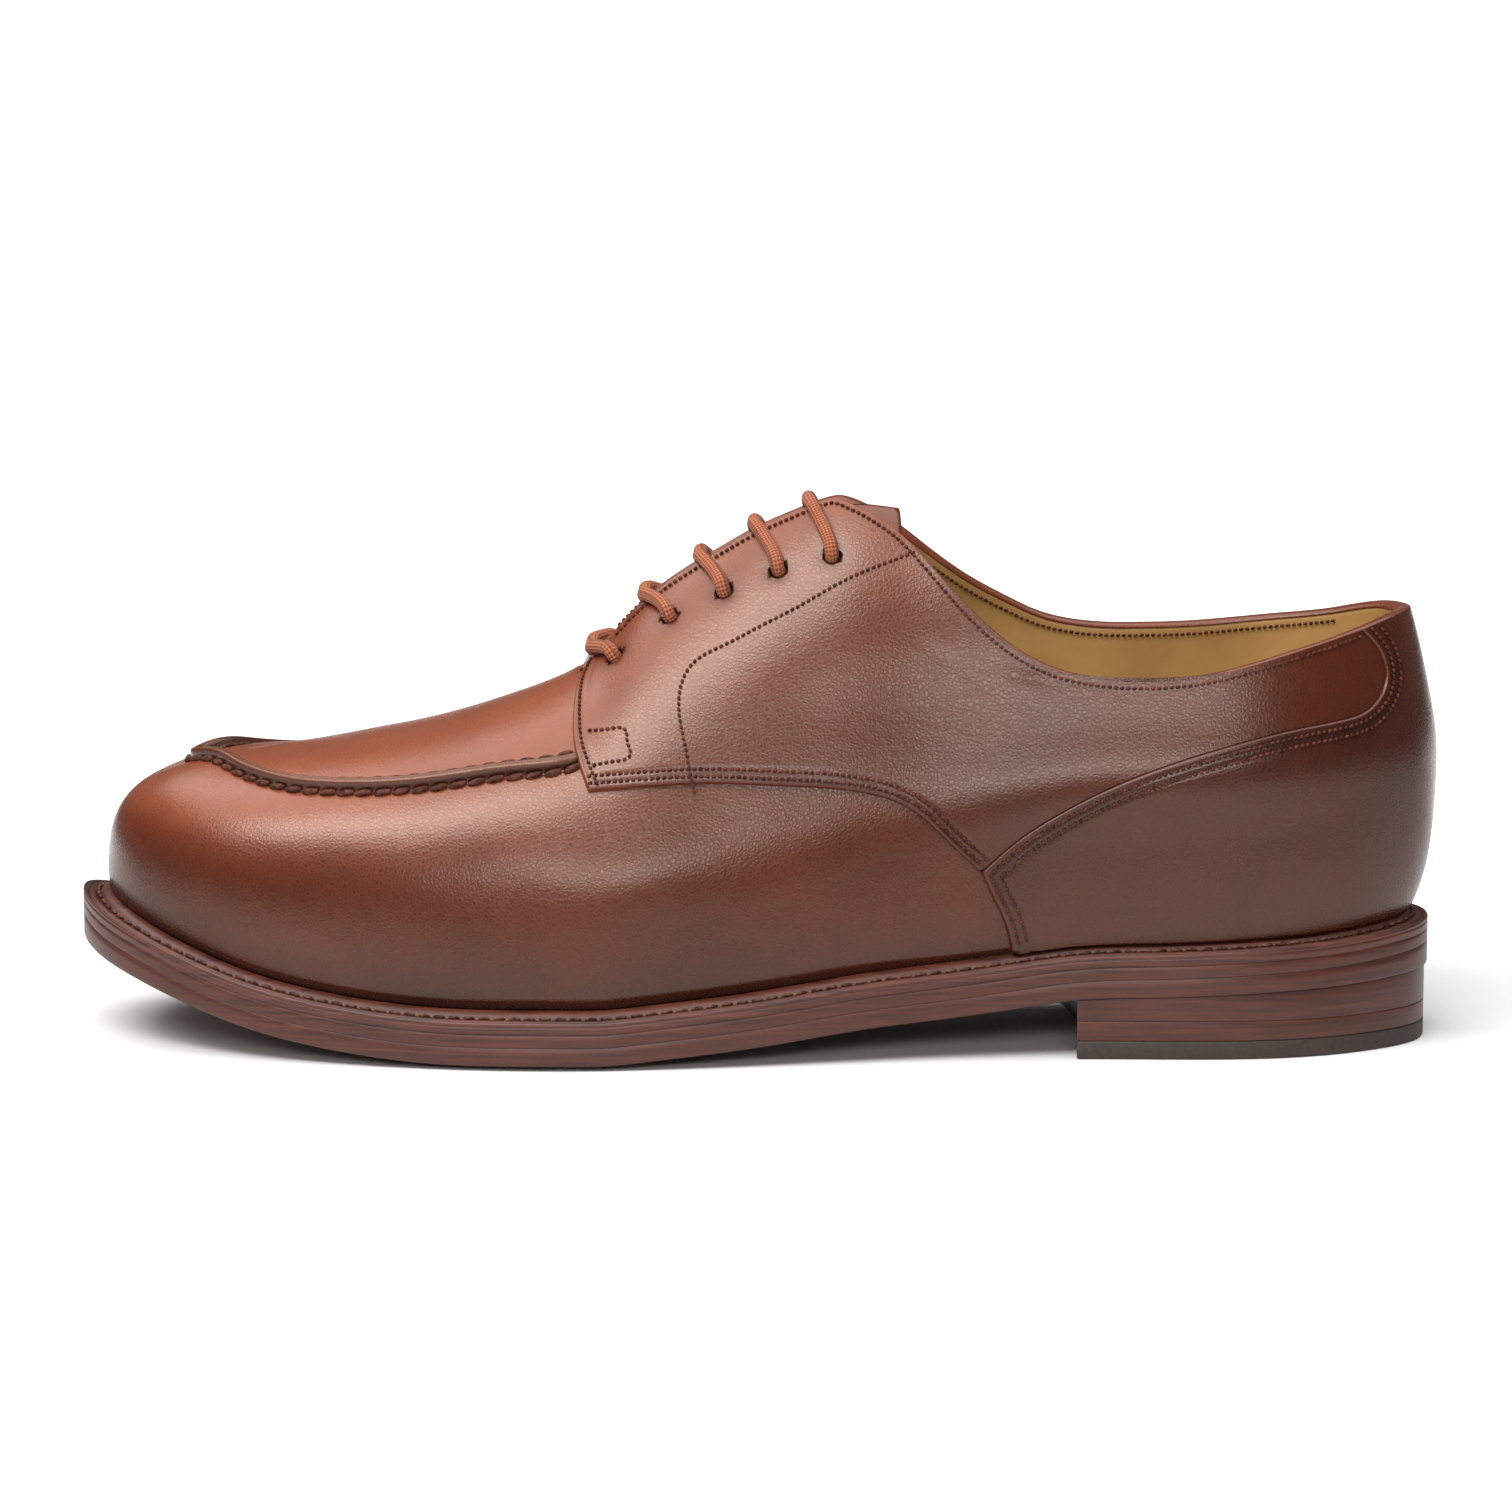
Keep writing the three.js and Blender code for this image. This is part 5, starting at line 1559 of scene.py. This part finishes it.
def inset_line(edge, distance, side, inside, height):
    """A line at a distance inside an edge, on a surface at a height over the last."""
    points, normals = line_frame(*edge.T)
    along = unit(np.gradient(points, axis=0))
    across = np.cross(normals, along)
    middle = len(points) // 2
    x = along_to_x(inside[0])
    target = np.array([x, welt_level(x) + inside[1] * BACK_RISE])
    if ((target - points[middle][[0, 2]]) * across[middle][[0, 2]]).sum() < 0:
        across = -across
    moved = points + across * np.broadcast_to(distance, len(points))[:, None]
    clear = edge_distance(moved[None], points)[0] > np.broadcast_to(distance, len(points)) - 0.12
    place = on_last(moved[clear][:, [0, 2]], side, 0.0)
    place = place[place[:, 1] < rim_up(place[:, 0]) - 0.004]
    points, normals = line_frame(*place.T)
    return points + normals * height, normals


FACING_ROW = np.array([
    # along, height
    [0.618, 1.328],
    [0.577, 1.282],
    [0.534, 1.209],
    [0.505, 1.163],
    [0.477, 1.115],
    [0.461, 1.086],
    [0.452, 1.045],
    [0.448, 0.999],
    [0.447, 0.957],
    [0.449, 0.877],
    [0.452, 0.817],
    [0.455, 0.743],
    [0.459, 0.671],
])

TACK_BOX = np.array([
    # along, height
    [0.381, 0.886],
    [0.398, 0.894],
    [0.4055, 0.896],
    [0.4085, 0.890],
    [0.4105, 0.850],
    [0.4125, 0.812],
    [0.4105, 0.804],
    [0.403, 0.798],
    [0.386, 0.786],
])

fine_thread = thread_material("fine_dark_thread", "2c110a", "65301f")
STITCH = {"pitch": 1.34, "length": 1.05, "thread": 0.74, "sink": 0.10, "slant": 0.28}
QUARTER_TOP = GAP + QUARTER_THICKNESS
COUNTER_TOP_HEIGHT = GAP + COUNTER_THICKNESS
for side, name in ((-1, "outer_stitches"), (1, "inner_stitches")):
    front, foot, heel, rim_line = quarter_edges[side]
    counter_front, counter_top = counter_lines[side]
    middle_of_quarter = (0.55, 0.85)
    middle_of_counter = (0.85, 0.30)
    lines = [
        inset_line(front[:-1], np.linspace(2.4, 1.3, len(front) - 1), side, middle_of_quarter,
                   QUARTER_TOP - 0.12),
        inset_line(foot, 1.5, side, middle_of_quarter, QUARTER_TOP - 0.12),
        inset_line(foot, 3.1, side, middle_of_quarter, QUARTER_TOP - 0.12),
        inset_line(rim_line, 1.4, side, middle_of_quarter, QUARTER_TOP),
        inset_line(np.concatenate([counter_front[:-1], counter_top]), 1.8, side,
                   middle_of_counter, COUNTER_TOP_HEIGHT - 0.12),
        inset_line(np.concatenate([counter_front[:-1], counter_top]), 3.7, side,
                   middle_of_counter, COUNTER_TOP_HEIGHT - 0.12),
    ]
    lining_row, row_normals = inset_line(rim_line, 1.9, side, middle_of_quarter, -UPPER_WALL)
    lines.append((lining_row, -row_normals))
    for table, count in ((FACING_ROW, 120), (TACK_BOX, 60)):
        points, normals = line_frame(*on_last(drawn(table, count), side).T)
        lines.append((points + normals * QUARTER_TOP, normals))
    sew(name, [stitch_row(line, normals, **STITCH) for line, normals in lines],
        fine_thread)

# Tongue: soft calf lined with leather, sewn under the vamp, lying on the instep.
TONGUE_THICKNESS = 1.8
TONGUE_WIDTH = 48
TONGUE_FROM_TOE = 103
TONGUE_TOP_FROM_TOE = 184
TONGUE_SKIVE = 4
LACE_DIAMETER = 3
LACE_ROOM = 0.7
tongue_turn = np.linspace(
    angle_of_foot(from_toe(TONGUE_FROM_TOE)), angle_of_foot(from_toe(TONGUE_TOP_FROM_TOE)), 60
)
tongue_rise = np.linspace(0, 1, 22)


def tongue_half(side, extra):
    angles = side * tongue_turn
    steps = np.linspace(0, 10, len(tongue_turn))
    widening = 0.7 + 0.3 * np.minimum(1, steps / 5)
    rounding = 1 - 0.25 * soft_step(steps, 8.6, 10.2) ** 2
    low = up_at_reach(angles, TONGUE_WIDTH / 2 * widening * rounding)
    ups = low[:, None] + (1 - low[:, None]) * tongue_rise
    x = skin(angles, ups, 0.0)[..., 0]
    lowered = soft_step(x, from_toe(TONGUE_FROM_TOE) + TONGUE_SKIVE, from_toe(THROAT_FROM_TOE))
    top = UPPER_WALL + GAP + (2 * LACE_ROOM + LACE_DIAMETER - GAP) * lowered
    return skin(angles, ups, -top - extra)


def tongue_sheet(extra):
    return np.concatenate([tongue_half(-1, extra), tongue_half(1, extra)[:, ::-1][:, 1:]], 1)


tongue = shell(
    "calf_tongue", [(tongue_sheet(0.0)[:, ::-1], tongue_sheet(TONGUE_THICKNESS)[:, ::-1])],
    [vamp_calf, lining], [np.full((len(tongue_turn), 2 * len(tongue_rise) - 1), 0.45)],
)
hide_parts("tongue")
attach(tongue, "root")

# Lace: one round cord of waxed braided cotton, in straight bars through the
# eyelets. Its free end runs back up inside to the top eyelet.
LACE_SLANT = 4.4
LACE_SAG = 1.2


def facing_point(side, x, reach, offset):
    angle = np.array([side * angle_of_foot(x)])
    return skin(angle, up_at_reach(angle, reach)[:, None], offset)[0, 0]


def lace_path():
    inside = -UPPER_WALL - LACE_ROOM - LACE_DIAMETER / 2
    outside = GAP + QUARTER_THICKNESS + 0.15 + LACE_DIAMETER / 2
    row = THROAT_HALF_GAP + EYELET_SETBACK
    bend = LACE_DIAMETER * 0.5
    path = []
    for i in range(EYELET_COUNT - 1, -1, -1):
        x = from_toe(EYELET_ROW_FROM_TOE + i * EYELET_SPACING)
        start = -1 if (EYELET_COUNT - i) % 2 == 1 else 1

        def rise(side):
            return [
                facing_point(side, x, row, inside + bend),
                facing_point(side, x, row, outside - bend),
                facing_point(side, x, row - 0.3 * bend, outside - 0.3 * bend),
                facing_point(side, x - 0.2 * bend, row - bend, outside),
                facing_point(side, x - 0.5 * LACE_SLANT, (row - bend + THROAT_HALF_GAP) / 2, outside),
                facing_point(side, x - 0.9 * LACE_SLANT, THROAT_HALF_GAP, outside),
            ]

        climb, fall = rise(start), rise(-start)[::-1]
        middle = (climb[-1] + fall[0]) / 2 - np.array([0, 0, LACE_SAG])
        entry = facing_point(start, x + bend, row, inside)
        leave = facing_point(-start, x - bend, row, inside)
        path += [entry, *climb, middle, *fall, leave]
    lane = row + LACE_DIAMETER + GAP
    first = from_toe(EYELET_ROW_FROM_TOE)
    path.append(facing_point(1, first - 2 * bend, lane - bend, inside))
    path += [facing_point(1, first + i * EYELET_SPACING, lane, inside) for i in range(EYELET_COUNT)]
    return np.array(path)


def rounded_path(points, step):
    """A smooth curve through the points, sampled at even steps."""
    chords = np.sqrt(np.linalg.norm(np.diff(points, axis=0), axis=1))
    travelled = np.concatenate([[0], np.cumsum(chords)])
    dense = np.linspace(0, travelled[-1], 12 * len(points))
    line = np.column_stack([curve_through(travelled, points[:, k])(dense) for k in range(3)])
    lengths = np.linalg.norm(np.diff(line, axis=0), axis=1)
    along = np.concatenate([[0], np.cumsum(lengths)])
    even = np.arange(0, along[-1], step)
    return np.column_stack([np.interp(even, along, line[:, k]) for k in range(3)]), even


lace_line, lace_along = rounded_path(lace_path(), 0.45)
lace_line = smoothed(lace_line, 3)
LACE_SIDES = 18
directions = unit(np.gradient(lace_line, axis=0))
across = unit(np.cross([0, 0, 1], directions[0]))
lace_points, lace_uvs = [], []
for point, direction, travelled in zip(lace_line, directions, lace_along):
    across = unit(across - direction * (across @ direction))
    third = np.cross(direction, across)
    turns = np.linspace(0, 2 * math.pi, LACE_SIDES, endpoint=False)
    ring = np.cos(turns)[:, None] * across + np.sin(turns)[:, None] * third
    lace_points.append(point + ring * LACE_DIAMETER / 2 * 1.03)
    lace_uvs.append(np.column_stack([0 * turns + travelled, turns / (2 * math.pi)]))
lace_faces = grid_faces(len(lace_points), LACE_SIDES, close_columns=True)
lace_faces.append(list(range(LACE_SIDES))[::-1])
lace_faces.append([(len(lace_points) - 1) * LACE_SIDES + k for k in range(LACE_SIDES)])

braid, braid_shader = new_material("waxed_braided_cotton", Roughness=0.7, Sheen_Weight=0.05)
braid_fit = add_node(braid, "ShaderNodeUVMap", {"uv_map": "fit"})
braid_parts = add_node(braid, "ShaderNodeSeparateXYZ", links={"Vector": braid_fit.outputs["UV"]})
strands = []
for way in (1, -1):
    along_wave = add_node(braid, "ShaderNodeMath", {"operation": "MULTIPLY", 1: 5.2},
                          {0: braid_parts.outputs["X"]})
    around = add_node(braid, "ShaderNodeMath",
                      {"operation": "MULTIPLY_ADD", 1: way * 12 * math.pi},
                      {0: braid_parts.outputs["Y"], 2: along_wave.outputs["Value"]})
    strands.append(add_node(braid, "ShaderNodeMath", {"operation": "SINE"},
                            {0: around.outputs["Value"]}))
woven = add_node(braid, "ShaderNodeMath", {"operation": "MULTIPLY"},
                 {0: strands[0].outputs["Value"], 1: strands[1].outputs["Value"]})
woven_share = add_node(braid, "ShaderNodeMapRange", {"From Min": -1.0},
                       {"Value": woven.outputs["Value"]})
braid_ramp = add_node(braid, "ShaderNodeValToRGB", links={"Fac": woven_share.outputs["Result"]})
braid_ramp.color_ramp.elements[0].position = 0.2
braid_ramp.color_ramp.elements[1].position = 0.8
braid_ramp.color_ramp.elements[0].color = srgb("6a301a")
braid_ramp.color_ramp.elements[1].color = srgb("b5663f")
join(braid, braid_ramp.outputs["Color"], braid_shader.inputs["Base Color"])
braid_bump = add_node(braid, "ShaderNodeBump", {"Strength": 0.8, "Distance": 0.3 * MM},
                      {"Height": woven_share.outputs["Result"]})
join(braid, braid_bump.outputs["Normal"], braid_shader.inputs["Normal"])

lace = make_mesh("braided_lace", np.concatenate(lace_points), lace_faces, braid,
                 uvs=np.concatenate(lace_uvs))
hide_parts("laces")
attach(lace, "root")
